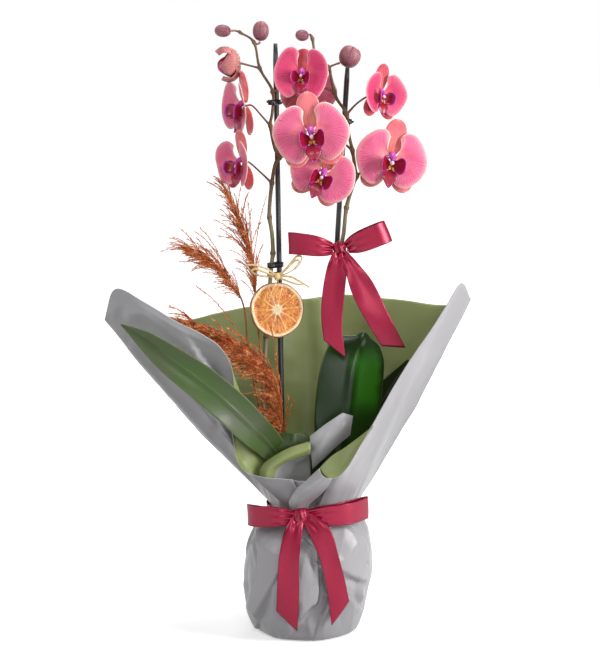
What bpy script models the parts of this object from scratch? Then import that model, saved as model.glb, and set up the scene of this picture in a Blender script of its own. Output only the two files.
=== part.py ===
"""Potted moth orchid bouquet in a tied paper wrapper.

Units are metres, +Z is up, and the bouquet faces -Y. The origin is the centre of the flat base.
Lists of route points are written in millimetres and pass through at(), which turns them to metres.
"""
import bpy
import bmesh
from math import cos, pi, radians, sin
from mathutils import Matrix, Vector

# Driving dimensions, in metres.
MM = 0.001
GAP = 0.0004                  # clearance between touching pieces
PAPER = 0.0010                # wrapper paper, stiff and doubled
RIBBON = 0.0009
RIBBON_WIDTH = 0.025
LEAF = 0.0018
PETAL = 0.0014

BASE_RADIUS = 0.048           # flat underside of the wrapped pot
POUCH_RADIUS = 0.0735         # widest part of the crumpled pouch
NECK_CENTRE = 0.009           # the neck is tied a little right of the base's centre
NECK_RADIUS = 0.0525
NECK_TOP = 0.1625
NECK_BOTTOM = 0.1375
FLARE_START = NECK_TOP + 3 * GAP

POT_BASE_RADIUS = 0.042
POT_RIM_RADIUS = 0.060
POT_HEIGHT = 0.115
POT_WALL = 0.0016
POT_LIFT = PAPER + GAP
BARK_TOP = 0.107

STAKE_RADIUS = 0.003
SPIKE_TOP_RADIUS = 0.0017
SPIKE_BASE_RADIUS = 0.0026
STALK_RADIUS = 0.0012

SLICE_RADIUS = 0.0315
SLICE_THICKNESS = 0.006

UP = Vector((0, 0, 1))


def at(x, y, z):
    """A point given in millimetres."""
    return Vector((x, y, z)) * MM


def route(*points):
    return [at(*point) for point in points]


# ---------------------------------------------------------------- materials

def finish(name, colour, roughness, metallic=0.0):
    material = bpy.data.materials.new(name)
    material.use_nodes = True
    shader = material.node_tree.nodes["Principled BSDF"]
    shader.inputs["Base Color"].default_value = (*colour, 1)
    shader.inputs["Roughness"].default_value = roughness
    shader.inputs["Metallic"].default_value = metallic
    return material


def make_finishes():
    table = {
        "pot_plastic": ((0.10, 0.05, 0.03), 0.45),
        "bark": ((0.16, 0.08, 0.04), 0.90),
        "spike_green": ((0.13, 0.12, 0.07), 0.50),
        "stake_black": ((0.01, 0.01, 0.01), 0.40),
        "clip_plum": ((0.03, 0.008, 0.015), 0.40),
        "petal_pink": ((0.72, 0.16, 0.26), 0.45),
        "lip_magenta": ((0.40, 0.01, 0.10), 0.40),
        "bud_mauve": ((0.40, 0.20, 0.22), 0.50),
        "leaf_green": ((0.05, 0.12, 0.02), 0.35),
        "orange_flesh": ((0.62, 0.22, 0.03), 0.50),
        "raffia_straw": ((0.55, 0.42, 0.24), 0.70),
        "grass_rust": ((0.30, 0.07, 0.01), 0.80),
        "paper_grey": ((0.38, 0.37, 0.38), 0.40),
        "paper_green": ((0.16, 0.22, 0.08), 0.45),
        "ribbon_burgundy": ((0.36, 0.01, 0.06), 0.30),
    }
    return {name: finish(name, *values) for name, values in table.items()}


# ---------------------------------------------------------------- shape tools

def place(name, bm, material):
    """Make the named object from a bmesh and clear the bmesh."""
    mesh = bpy.data.meshes.new(name)
    bm.to_mesh(mesh)
    bm.free()
    mesh.shade_smooth()
    mesh.set_sharp_from_angle(angle=radians(40))
    mesh.materials.append(material)
    piece = bpy.data.objects.new(name, mesh)
    bpy.context.scene.collection.objects.link(piece)
    return piece


def curve_through(points, steps):
    """A smooth curve through the points, with `steps` points on each span."""
    ends = [2 * points[0] - points[1]] + points + [2 * points[-1] - points[-2]]
    smooth = []
    for i in range(1, len(ends) - 2):
        a, b, c, d = ends[i - 1:i + 3]
        for k in range(steps):
            t = k / steps
            smooth.append(0.5 * (2 * b + (c - a) * t + (2 * a - 5 * b + 4 * c - d) * t * t
                                 + (3 * b - a - 3 * c + d) * t ** 3))
    return smooth + [points[-1].copy()]


def blend_between(values, position):
    """The value at a position from 0 to 1 along an evenly spaced list."""
    spot = position * (len(values) - 1)
    i = min(int(spot), len(values) - 2)
    return values[i] + (values[i + 1] - values[i]) * (spot - i)


def tube(name, points, radii, material, steps=3, sides=8):
    """A closed round tube along a smooth route; radii are spread along it."""
    path = curve_through(points, steps)
    bm = bmesh.new()
    rings = []
    side = None
    for i, centre in enumerate(path):
        along = (path[min(i + 1, len(path) - 1)] - path[max(i - 1, 0)]).normalized()
        if side is None:
            side = along.orthogonal().normalized()
        side = (side - along * side.dot(along)).normalized()
        other = along.cross(side)
        radius = blend_between(radii, i / (len(path) - 1))
        rings.append([bm.verts.new(centre + radius * (side * cos(a) + other * sin(a)))
                      for a in (2 * pi * k / sides for k in range(sides))])
    for low, high in zip(rings, rings[1:]):
        for k in range(sides):
            j = (k + 1) % sides
            bm.faces.new((low[k], low[j], high[j], high[k]))
    bm.faces.new(rings[0][::-1])
    bm.faces.new(rings[-1])
    return place(name, bm, material)


def sheet(name, rows, thickness, material, ring=False):
    """A thin closed sheet through a grid of points; `ring` joins each row's ends."""
    bm = bmesh.new()
    grid = [[bm.verts.new(point) for point in row] for row in rows]
    count = len(grid[0])
    for low, high in zip(grid, grid[1:]):
        for k in range(count if ring else count - 1):
            j = (k + 1) % count
            bm.faces.new((low[k], low[j], high[j], high[k]))
    piece = place(name, bm, material)
    wall = piece.modifiers.new("wall", 'SOLIDIFY')
    wall.thickness = thickness
    wall.offset = 0
    return piece


def strip(name, left, right, thickness, material, steps=2):
    """A band between its two long edges."""
    pairs = zip(curve_through(left, steps), curve_through(right, steps))
    return sheet(name, [(a, b) for a, b in pairs], thickness, material)


def turned(name, profile, segments, material, centre=Vector()):
    """A closed turned solid; its (radius, height) profile starts and ends on the axis or closes."""
    bm = bmesh.new()
    rings = []
    for radius, height in profile:
        turns = [0] if radius == 0 else [2 * pi * k / segments for k in range(segments)]
        rings.append([bm.verts.new(centre + Vector((radius * cos(a), radius * sin(a), height)))
                      for a in turns])
    for low, high in zip(rings, rings[1:]):
        for k in range(segments):
            j = (k + 1) % segments
            corners = [low[k % len(low)], low[j % len(low)], high[j % len(high)], high[k % len(high)]]
            bm.faces.new(list(dict.fromkeys(corners)))
    return place(name, bm, material)


def egg(name, centre, along, half_length, half_width, material, half_depth=None, sides=10):
    """An egg-shaped solid whose long axis points along a direction."""
    bm = bmesh.new()
    bmesh.ops.create_uvsphere(bm, u_segments=sides, v_segments=6, radius=1)
    size = Matrix.Diagonal((half_width, half_depth or half_width, half_length, 1))
    turn = along.to_track_quat('Z', 'Y').to_matrix().to_4x4()
    bm.transform(Matrix.Translation(centre) @ turn @ size)
    return place(name, bm, material)


def join_into(piece, extras):
    """Unite extra solids with a piece and leave them as hidden guides."""
    for extra in extras:
        union = piece.modifiers.new("join_" + extra.name, 'BOOLEAN')
        union.operation = 'UNION'
        union.object = extra
        hide_guide(extra)


def cut_from(piece, cutters):
    for cutter in cutters:
        cut = piece.modifiers.new("cut_" + cutter.name, 'BOOLEAN')
        cut.operation = 'DIFFERENCE'
        cut.object = cutter
        hide_guide(cutter)


def hide_guide(guide):
    guide.hide_render = True
    guide.display_type = 'WIRE'


def collar(name, one, other, inner, wall, height, material):
    """A band round two upright rods: a stadium-shaped ring."""
    middle = (one + other) / 2
    along = Vector((other.x - one.x, other.y - one.y, 0))
    reach = along.length / 2
    along.normalize()
    across = Vector((-along.y, along.x, 0))
    sides = 6
    outline = []
    for end in (1, -1):
        for k in range(sides + 1):
            a = pi * k / sides - pi / 2
            outline.append((end * reach * along, end * (cos(a) * along + sin(a) * across)))
    bm = bmesh.new()
    rings = []
    for radius, lift in ((inner, -height / 2), (inner + wall, -height / 2),
                         (inner + wall, height / 2), (inner, height / 2)):
        rings.append([bm.verts.new(middle + shift + radius * out + lift * UP)
                      for shift, out in outline])
    count = len(outline)
    for low, high in zip(rings, rings[1:] + rings[:1]):
        for k in range(count):
            j = (k + 1) % count
            bm.faces.new((low[k], low[j], high[j], high[k]))
    return place(name, bm, material)


# ---------------------------------------------------------------- pot, bark and pouch

def pot_radius(height):
    return POT_BASE_RADIUS + (POT_RIM_RADIUS - POT_BASE_RADIUS) * height / POT_HEIGHT


def make_pot(finishes):
    lip = 0.0022
    profile = [
        (0, POT_LIFT),
        (POT_BASE_RADIUS, POT_LIFT),
        (pot_radius(0.105) - lip, 0.105),
        (pot_radius(0.105), 0.105),
        (POT_RIM_RADIUS, POT_HEIGHT),
        (POT_RIM_RADIUS - lip, POT_HEIGHT),
        (pot_radius(0.105) - lip - POT_WALL, 0.105),
        (POT_BASE_RADIUS - POT_WALL, POT_LIFT + POT_WALL),
        (0, POT_LIFT + POT_WALL),
    ]
    turned("pot", profile, 24, finishes["pot_plastic"])


def make_bark(finishes, stakes):
    clear = POT_WALL + 0.0022 + GAP
    floor = POT_LIFT + POT_WALL + GAP
    profile = [
        (0, floor),
        (POT_BASE_RADIUS - clear, floor),
        (pot_radius(BARK_TOP) - 2 * clear, BARK_TOP - 0.006),
        (0.034, BARK_TOP),
        (0, BARK_TOP + 0.004),
    ]
    bark = turned("bark_medium", profile, 24, finishes["bark"])
    holes = [tube(name + "_hole", points, [STAKE_RADIUS + GAP], finishes["bark"], steps=1)
             for name, points in stakes.items()]
    cut_from(bark, holes)


POUCH_PROFILE = [
    (BASE_RADIUS, 0.0),
    (0.0585, 0.006),
    (0.0665, 0.030),
    (POUCH_RADIUS, 0.066),
    (0.0725, 0.094),
    (0.0690, 0.116),
    (0.0610, 0.129),
    (NECK_RADIUS, NECK_BOTTOM),
    (NECK_RADIUS, NECK_TOP),
]


def make_pouch(finishes):
    """The paper under and round the pot: a flat floor, a bulging wall and the tied neck."""
    segments = 28
    half = PAPER / 2
    rows = []
    for radius, height in POUCH_PROFILE:
        drift = NECK_CENTRE * min(1, height / NECK_BOTTOM) ** 3
        row = []
        for k in range(segments):
            a = 2 * pi * k / segments
            folds = 0.0012 * sin(8 * a) * sin(pi * height / NECK_TOP)
            row.append(Vector((drift + (radius + folds) * cos(a), (radius + folds) * sin(a),
                               height + half)))
        rows.append(row)
    floor = [[Vector((x * share, y * share, half)) for x, y, _ in rows[0]] for share in (0.05, 0.5)]
    pouch = sheet("wrapper_pouch", floor + rows, PAPER, finishes["paper_grey"], ring=True)
    bm = bmesh.new()
    bm.from_mesh(pouch.data)
    bm.verts.ensure_lookup_table()
    bm.faces.new(bm.verts[:segments][::-1])
    bm.to_mesh(pouch.data)
    bm.free()


# ---------------------------------------------------------------- flared wrapper

def neck_point(turn):
    """A point where the flare leaves the tie, by its angle from +X in degrees."""
    reach = NECK_RADIUS - PAPER / 2
    return Vector((NECK_CENTRE + reach * cos(radians(turn)), reach * sin(radians(turn)), FLARE_START))


def flare(name, turns, edge, finishes, bulge=0.0, crowd=1.0, rows=5):
    """A panel of the flared sheet, from the neck up to its edge points.

    `crowd` above 1 gathers the panel's first folds closer together at the neck.
    """
    first, last = turns
    columns = len(edge)
    grid = []
    for i in range(rows):
        up = i / (rows - 1)
        row = []
        for k, tip in enumerate(edge):
            root = neck_point(first + (last - first) * (k / (columns - 1)) ** crowd)
            outward = Vector((root.x - NECK_CENTRE, root.y, 0)).normalized()
            sag = bulge * sin(pi * up)
            row.append(root.lerp(tip, up) + outward * sag)
        grid.append(row)
    return sheet(name, grid, PAPER, finishes["paper_grey"])


LEFT_FOLD = at(-229, -28, 370)
RIGHT_FOLD = at(187, -18, 392)
BACK_MIDDLE = at(-3, 105, 376)


def make_flare(finishes):
    step = Vector((0.0012, 0, 0))
    turn_back = Vector((0, 0.0015, 0))
    flare("wrapper_front_left", (182, 262),
          [LEFT_FOLD] + route((-214, -58, 409), (-181, -68, 396), (-143, -78, 375), (-116, -84, 362),
                              (-94, -87, 346), (-82, -86, 318), (-83, -82, 255), (-75, -77, 212),
                              (-54, -77, 199), (-15, -76, 195)), finishes, crowd=1.6)
    flare("wrapper_back_left", (178, 91),
          [LEFT_FOLD + turn_back] + route((-219, 0, 392), (-186, 40, 372), (-151, 70, 355),
                                          (-110, 88, 361), (-70, 97, 368), (-36, 102, 372))
          + [BACK_MIDDLE - step], finishes, bulge=0.006)
    flare("wrapper_back_right", (89, 2),
          [BACK_MIDDLE + step] + route((46, 105, 381), (93, 98, 378), (130, 86, 376),
                                       (166, 66, 374), (184, 26, 384))
          + [RIGHT_FOLD + turn_back], finishes, bulge=0.006)
    flare("wrapper_front_right", (-2, -88),
          [RIGHT_FOLD] + route((175, -44, 414), (158, -55, 391), (138, -63, 361), (116, -71, 330),
                               (96, -78, 298), (72, -84, 258), (57, -91, 230), (40, -95, 212),
                               (27, -94, 202)), finishes)
    sheet("wrapper_front_roll",
          [route((70, -78, 256), (46, -70, 241), (28, -70, 224), (13, -76, 208)),
           route((62, -80, 240), (42, -76, 222), (26, -78, 209), (13, -80, 201)),
           route((38, -73, 199), (27, -70, 191), (17, -68, 186), (8, -66, 182))],
          PAPER, finishes["paper_green"])
    sheet("wrapper_collar",
          [route((-47, -69, 207), (-44, -64, 215), (-31, -61, 222), (-14, -59, 229), (4, -58, 235)),
           route((-34, -54, 190), (-28, -56, 195), (-19, -57, 200), (-9, -57, 204), (2, -57, 208)),
           route((-19, -38, 169), (-13, -41, 169), (-7, -43, 169), (-1, -44, 169), (6, -44, 169))],
          PAPER, finishes["paper_green"])
    sheet("wrapper_corner_flap",
          [route((41, -54, 269), (47, -54, 267), (53, -55, 265)),
           route((3, -61, 242), (24, -58, 242), (49, -60, 239)),
           route((9, -65, 206), (18, -63, 208), (28, -64, 214))],
          PAPER, finishes["paper_grey"])


# ---------------------------------------------------------------- ribbons

def ribbon_loop(name, points, lean, finishes, ends=0.55):
    """A loop of ribbon: a bowed strip that returns to the knot, narrower where it is gathered."""
    path = curve_through(points, 2)
    half = RIBBON_WIDTH / 2
    rows = []
    for i, centre in enumerate(path):
        share = abs(2 * i / (len(path) - 1) - 1)
        reach = half * (1 - (1 - ends) * share ** 4)
        rows.append([centre - lean * reach, centre, centre + lean * reach])
    return sheet(name, rows, RIBBON, finishes["ribbon_burgundy"])


def make_neck_ribbon(finishes):
    ribbon = finishes["ribbon_burgundy"]
    inner = NECK_RADIUS + PAPER / 2 + 3 * GAP
    outer = inner + RIBBON
    low, high = NECK_BOTTOM + 0.0008, NECK_TOP - 0.0005
    turned("neck_ribbon_band", [(inner, low), (outer, low), (outer, high), (inner, high), (inner, low)],
           32, ribbon, Vector((NECK_CENTRE, 0, 0)))
    egg("neck_ribbon_knot", at(-7, -63.5, 150), UP, 0.012, 0.0065, ribbon, 0.0055)
    ribbon_loop("neck_ribbon_left_loop",
                route((-14.5, -67, 150), (-38, -64, 149), (-58, -54, 147), (-67, -43, 146),
                      (-62, -38, 146), (-44, -48, 148), (-14.5, -60, 150)), UP, finishes)
    ribbon_loop("neck_ribbon_right_loop",
                route((0.5, -67, 150), (24, -67, 151), (50, -57, 152), (70, -36, 152),
                      (67, -31, 152), (52, -44, 151), (30, -58, 150), (0.5, -61, 150)), UP, finishes)
    strip("neck_ribbon_left_tail",
          route((-24, -66, 134), (-32, -76, 105), (-30, -79, 80), (-33, -74, 42)),
          route((-4, -67, 135), (-8, -77, 105), (-5, -79, 70), (-8, -71, 17)), RIBBON, ribbon)
    strip("neck_ribbon_right_tail",
          route((-1, -67, 135), (14, -74, 115), (23, -79, 85), (29, -72, 24)),
          route((22, -67, 134), (36, -72, 115), (46, -73, 85), (49, -69, 52)), RIBBON, ribbon)


def make_spike_bow(finishes, spike_point, stake_point):
    ribbon = finishes["ribbon_burgundy"]
    knot = egg("spike_bow_knot", at(38, -10.5, 450), UP, 0.010, 0.0065, ribbon, 0.0058)
    join_into(knot, [collar("spike_bow_wrap", spike_point, stake_point, 0.0036, 0.0014, 0.013, ribbon)])
    lean = Vector((-0.35, 0, 0.94))
    ribbon_loop("spike_bow_left_loop",
                route((30.5, -16, 450), (10, -23, 454), (-10, -21, 456), (-20, -15, 456),
                      (-11, -9, 455), (10, -9, 452), (30.5, -11, 449)), UP, finishes)
    ribbon_loop("spike_bow_right_loop",
                route((46, -16, 451), (62, -23, 458), (82, -21, 466), (93, -14, 470),
                      (84, -9, 467), (62, -9, 458), (46, -11, 451)), lean, finishes)
    strip("spike_bow_left_tail",
          route((27, -17, 435), (20, -22, 408), (17, -25, 375), (20, -26, 346)),
          route((42, -18, 436), (45, -24, 402), (41, -26, 362), (45, -27, 326)), RIBBON, ribbon)
    strip("spike_bow_right_tail",
          route((44, -21, 434), (50, -28, 402), (66, -30, 372), (86, -30, 340)),
          route((54, -17, 436), (75, -24, 415), (93, -28, 378), (113, -30, 338)), RIBBON, ribbon)


# ---------------------------------------------------------------- leaves

def leaf(name, spine, half_widths, side, cup, finishes):
    """A thick strap leaf along its midrib, folded a little into a channel."""
    path = curve_through(spine, 2)
    rows = []
    for i, centre in enumerate(path):
        position = i / (len(path) - 1)
        along = (path[min(i + 1, len(path) - 1)] - path[max(i - 1, 0)]).normalized()
        across = (side - along * side.dot(along)).normalized()
        out = across.cross(along)
        reach = blend_between(half_widths, position) * MM
        rows.append([centre + across * reach * share + out * cup * MM * share * share
                     for share in (-1, -0.5, 0, 0.5, 1)])
    return sheet(name, rows, LEAF, finishes["leaf_green"])


def make_leaves(finishes):
    egg("crown", at(0, 0, 124), UP, 0.0125, 0.0075, finishes["leaf_green"])
    leaf("leaf_long_left",
         route((-9.5, -12, 127), (-17, -21, 165), (-27, -34, 202), (-43, -57, 232), (-60, -80, 254),
               (-86, -99, 284), (-118, -103, 312), (-150, -99, 335), (-179, -90, 356), (-205, -80, 371)),
         [7, 11, 13, 15, 17, 18, 17, 15.5, 9, 2], Vector((0.6, 0.1, 0.8)), 3, finishes)
    leaf("leaf_broad_upright",
         route((8.5, -13, 128), (22, -22, 165), (38, -26, 210), (47, -25, 262), (53, -18, 308),
               (60, -9, 336), (66, 5, 348)),
         [6, 14, 27, 37, 36, 24, 4], Vector((1, 0.1, 0)), -4, finishes)
    leaf("leaf_small_front",
         route((-3, -16, 132), (-7, -28, 165), (-11, -41, 198), (-14, -51, 226), (-15, -54, 241)),
         [6, 13, 18, 15, 4], Vector((1, 0, 0)), 4, finishes)
    leaf("leaf_right_back",
         route((12.5, -3, 127), (33, -4, 170), (66, 3, 230), (96, 6, 280), (118, 8, 318)),
         [4, 14, 19, 17, 3], Vector((0.7, 0.2, -0.7)), 4, finishes)


# ---------------------------------------------------------------- flowers

def facing_frame(facing, roll):
    """The right and up directions of a flower that faces the given way, rolled clockwise."""
    facing = Vector(facing).normalized()
    up = (UP - facing * facing.z).normalized()
    right = up.cross(facing)
    a = radians(roll)
    return facing, right * cos(a) - up * sin(a), up * cos(a) + right * sin(a)


LOBES = [(90, 0.86, 30), (8, 1.0, 44), (172, 1.0, 44), (232, 0.84, 28), (308, 0.84, 28)]


def lobe_reach(degrees):
    """How far the perianth reaches at an angle, as a share of the flower's radius."""
    reach = 0.45
    for middle, length, spread in LOBES:
        away = abs((degrees - middle + 180) % 360 - 180) / spread
        if away < 1:
            reach = max(reach, 0.45 + (length - 0.45) * (1 - away ** 2.4))
    return reach


def flower(name, centre, facing, roll, radius, finishes):
    """Three sepals and two petals as one lobed plate, with the lip as a piece of its own."""
    ahead, right, up = facing_frame(facing, roll)
    spokes = 28
    rows = []
    for share in (0.06, 0.5, 1.0):
        row = []
        for k in range(spokes):
            degrees = 360 * k / spokes
            reach = radius * share * (lobe_reach(degrees) if share > 0.1 else 1)
            a = radians(degrees)
            row.append(centre + reach * (cos(a) * right + sin(a) * up)
                       + ahead * 0.0035 * (reach / radius) ** 2)
        rows.append(row)
    perianth = sheet(name, rows, PETAL, finishes["petal_pink"], ring=True)
    bm = bmesh.new()
    bm.from_mesh(perianth.data)
    bm.verts.ensure_lookup_table()
    bm.faces.new(bm.verts[:spokes][::-1])
    bm.to_mesh(perianth.data)
    bm.free()
    size = radius / 0.044
    egg(name + "_lip", centre + ahead * 0.0100 * size - up * 0.0110 * size, up,
        0.0125 * size, 0.0080 * size, finishes["lip_magenta"], 0.0062 * size, sides=8)


FLOWERS = {
    "flower_front": (at(5, -48, 583), (0.02, -0.99, 0.08), -6, 0.0440),
    "flower_low": (at(19, -33, 537), (0.0, -0.98, -0.05), 26, 0.0390),
    "flower_top": (at(-5, -22, 648), (-0.1, -0.97, 0.12), 4, 0.0330),
    "flower_upper_right": (at(83, -15, 625), (0.6, -0.78, 0.05), 10, 0.0330),
    "flower_right": (at(96, -25, 553), (0.15, -0.98, 0.0), 11, 0.0430),
    "flower_behind": (at(2, 17, 626), (0.15, 0.97, 0.15), 0, 0.0340),
    "flower_left_upper": (at(-70, -10, 611), (-0.90, -0.43, 0.0), 0, 0.0345),
    "flower_left_lower": (at(-73, -20, 548), (-0.78, -0.62, 0.0), 0, 0.0310),
}

BUDS = {
    "bud_left_tip": (at(-94, 0, 694.8), (-1, 0, 0.08), 9.0, 6.8),
    "bud_left_round": (at(-51, 0, 694.6), (0.05, 0, 1), 11.0, 9.0),
    "bud_right_tip": (at(-4.6, -2, 689.8), (-1, 0, 0.1), 7.4, 6.2),
    "bud_right_opening": (at(49, -8, 666), (0.45, 0, 1), 12.4, 11.6),
}


def make_flowers(finishes):
    for name, (centre, facing, roll, radius) in FLOWERS.items():
        flower(name, centre, facing, roll, radius, finishes)
    for name, (centre, along, half_length, half_width) in BUDS.items():
        egg(name, centre, Vector(along), half_length * MM, half_width * MM, finishes["bud_mauve"])
    egg("flower_half_open", at(-88.5, 0, 656), Vector((-0.35, 0, 0.94)), 0.0205, 0.0125,
        finishes["petal_pink"])


# ---------------------------------------------------------------- spikes, stakes and clips

STAKES = {
    "stake_left": route((-24.6, 8, 16), (-29.0, 8, 306), (-34.8, 8, 680)),
    "stake_right": route((11.0, 8, 16), (28.8, 8, 334), (46.9, 8, 655)),
}

LEFT_SPIKE = route(
    (-12, -1, 124), (-22, -3, 137), (-35, 1, 160), (-45, 1, 200), (-50, 0, 254), (-46, 0, 346),
    (-40, -1, 425), (-38, -1, 443), (-39, -1, 465), (-42, -1, 489), (-39, -1, 523), (-35, -1, 545),
    (-29.5, -1, 553), (-35.5, -1, 562), (-40.5, -1, 588), (-38.5, -1, 603), (-38, 0, 627),
    (-52.5, 0, 653), (-59, 0, 682), (-75.5, 0, 693.5))

RIGHT_SPIKE = route(
    (5, 12, 123), (8, 9, 150), (13, 1, 200), (19, -2, 260), (27, -2, 334), (37, -1, 430),
    (41, -1, 456), (43, -1, 467), (46, -1, 495), (53, -1, 520), (57.5, -1, 531), (56, -1, 537),
    (52.5, -1, 560), (48.5, -1, 578), (46, -1, 601), (34, -2, 620), (28, -2, 643), (25, -2, 654),
    (10.5, -2, 670), (7, -2, 686), (3.8, -2, 691.5))


def flower_back(name):
    """Where a stalk meets the back of a flower, and a point straight behind it."""
    centre, facing, _, _ = FLOWERS[name]
    ahead = Vector(facing).normalized()
    return [centre - ahead * 0.010, centre - ahead * (PETAL / 2 + 2 * GAP)]


def stalk(name, points, finishes):
    return tube(name, points, [1.15 * STALK_RADIUS, STALK_RADIUS], finishes["spike_green"],
                steps=2, sides=6)


def make_spikes(finishes):
    green = finishes["spike_green"]
    radii = [SPIKE_BASE_RADIUS, SPIKE_BASE_RADIUS, 0.0022, 0.0021, SPIKE_TOP_RADIUS, 0.0014]
    left = tube("spike_left", LEFT_SPIKE, radii, green, steps=2, sides=6)
    join_into(left, [
        stalk("stalk_low", route((-29.5, -1, 553), (-12, -3, 556), (6, -12, 547))
              + flower_back("flower_low"), finishes),
        stalk("stalk_behind", route((-38.2, -0.5, 626), (-28, -1, 630), (-12, 3, 630))
              + flower_back("flower_behind"), finishes),
        stalk("stalk_left_upper", route((-40.5, -1, 588), (-50, -2, 599))
              + flower_back("flower_left_upper"), finishes),
        stalk("stalk_left_lower", route((-39, -1, 523), (-50, -4, 534))
              + flower_back("flower_left_lower"), finishes),
        stalk("stalk_half_open", route((-52.5, 0, 653), (-64, 0, 656), (-75.2, 0, 659)), finishes),
        stalk("stalk_tip", route((-75, 0, 693.6), (-80, 0, 695), (-84.4, 0, 694.9)), finishes),
        stalk("stalk_round", route((-59, 0, 682), (-55, 0, 680), (-51.5, 0, 682.4)), finishes),
    ])
    right = tube("spike_right", RIGHT_SPIKE, radii, green, steps=2, sides=6)
    join_into(right, [
        stalk("stalk_front", route((52.5, -1, 560), (38, -12, 573), (20, -26, 582))
              + flower_back("flower_front"), finishes),
        stalk("stalk_top", route((31.5, -2, 626), (20, -3, 632), (6, -6, 644))
              + flower_back("flower_top"), finishes),
        stalk("stalk_upper_right", route((46, -1, 601), (56, 0, 612), (67, 0, 620))
              + flower_back("flower_upper_right"), finishes),
        stalk("stalk_right", route((57.5, -1, 531), (68, -3, 541), (82, -8, 550))
              + flower_back("flower_right"), finishes),
        stalk("stalk_opening", route((25, -2, 654), (32, -3, 657), (37.4, -5.4, 659.0)), finishes),
    ])


def point_at_height(points, height):
    for low, high in zip(points, points[1:]):
        if low.z <= height <= high.z:
            return low.lerp(high, (height - low.z) / (high.z - low.z))
    raise ValueError(height)


def make_stakes(finishes):
    for name, points in STAKES.items():
        tube(name, points, [STAKE_RADIUS], finishes["stake_black"], steps=1, sides=10)


def make_clips(finishes):
    for name, spike, stake, height in (
            ("clip_left_upper", LEFT_SPIKE, STAKES["stake_left"], 0.6145),
            ("clip_left_lower", LEFT_SPIKE, STAKES["stake_left"], 0.4290),
            ("clip_right", RIGHT_SPIKE, STAKES["stake_right"], 0.5930)):
        collar(name, point_at_height(spike, height), point_at_height(stake, height), 0.0036, 0.0015,
               0.006, finishes["clip_plum"])


# ---------------------------------------------------------------- slice, raffia and grass

def make_slice(finishes):
    centre = at(-33.5, -17, 380)
    facing = Vector((0.24, -0.95, 0.16)).normalized()
    half = SLICE_THICKNESS / 2
    chamfer = 0.0010
    profile = [(0, -half), (SLICE_RADIUS - chamfer, -half), (SLICE_RADIUS, -half + chamfer),
               (SLICE_RADIUS, half - chamfer), (SLICE_RADIUS - chamfer, half), (0, half)]
    slice_piece = turned("orange_slice", profile, 32, finishes["orange_flesh"])
    turn = facing.to_track_quat('Z', 'Y').to_matrix().to_4x4()
    slice_piece.data.transform(Matrix.Translation(centre) @ turn)


def make_raffia(finishes):
    straw = finishes["raffia_straw"]
    knot = egg("raffia_bow", at(-33, -14, 417.5), UP, 0.0045, 0.0040, straw, 0.0035, sides=8)
    spike_point = point_at_height(LEFT_SPIKE, 0.4180)
    stake_point = point_at_height(STAKES["stake_left"], 0.4180)
    thin = [0.0011]

    def straw_tube(name, *points):
        return tube(name, route(*points), thin, straw, steps=2, sides=5)

    join_into(knot, [
        collar("raffia_wrap", spike_point, stake_point, 0.0036, 0.0012, 0.003, straw),
        straw_tube("raffia_strand", (-38, -4.4, 418), (-35, -9, 418), (-33, -14, 418)),
        straw_tube("raffia_right_loop", (-33, -14, 418), (-22, -17, 428), (-9, -18, 441), (-5, -17, 437),
                   (-14, -15, 427), (-33, -14, 417)),
        straw_tube("raffia_left_loop", (-33, -14, 418), (-45, -19, 428), (-62, -23, 433),
                   (-68, -22, 430), (-56, -19, 422), (-33, -14, 417)),
        straw_tube("raffia_right_tail", (-33, -14, 418), (-18, -18, 416), (2, -20, 407)),
        straw_tube("raffia_front_tail", (-33, -14, 417), (-36, -25, 409), (-43, -28, 393), (-45, -28, 381)),
    ])


GRASS = {
    "grass_main": (route((-21, -11, 116), (-21, -11, 150), (-24, -14, 190), (-27, -20, 233),
                         (-36, -27, 290), (-60, -34, 326), (-95, -32, 344), (-132, -28, 362)),
                   [1.5, 1.5, 3, 8, 12, 11, 7, 1.2]),
    "grass_upper_inner": (route((-30, -8, 116), (-33, -9, 180), (-41, -10, 254), (-52, -7, 330),
                                (-57, -5, 380), (-60, -7, 425), (-72, -12, 465), (-86, -12, 508)),
                          [1.2, 1.2, 1.2, 1.2, 2, 6, 8, 1.2]),
    "grass_upper_outer": (route((-35, -12, 116), (-39, -14, 180), (-52, -14, 254), (-66, -8, 330),
                                (-71, -6, 380), (-82, -10, 405), (-104, -14, 430), (-128, -14, 444)),
                          [1.0, 1.0, 1.0, 1.0, 2, 5, 6, 1.2]),
}


def make_grass(finishes):
    for name, (points, radii) in GRASS.items():
        tube(name, points, [radius * MM for radius in radii], finishes["grass_rust"], steps=2, sides=7)


def clear_scene():
    for old in list(bpy.data.objects):
        bpy.data.objects.remove(old)


def build():
    clear_scene()
    finishes = make_finishes()
    make_pot(finishes)
    make_bark(finishes, STAKES)
    make_pouch(finishes)
    make_flare(finishes)
    make_neck_ribbon(finishes)
    make_leaves(finishes)
    make_flowers(finishes)
    make_spikes(finishes)
    make_stakes(finishes)
    make_clips(finishes)
    make_spike_bow(finishes, point_at_height(RIGHT_SPIKE, 0.4500),
                   point_at_height(STAKES["stake_right"], 0.4500))
    make_slice(finishes)
    make_raffia(finishes)
    make_grass(finishes)


build()
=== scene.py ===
"""A potted moth orchid in a tied paper wrapper: its finished surfaces, its studio and its camera.

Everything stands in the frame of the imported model: metres, +Z up, open front towards -Y.
The object's points and sizes are written in millimetres, as in the construction, and MM turns
them to metres; only the studio's are written in metres.
"""
from math import cos, degrees, exp, hypot, pi, radians, sin

import bpy
from mathutils import Matrix, Vector, noise


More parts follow.
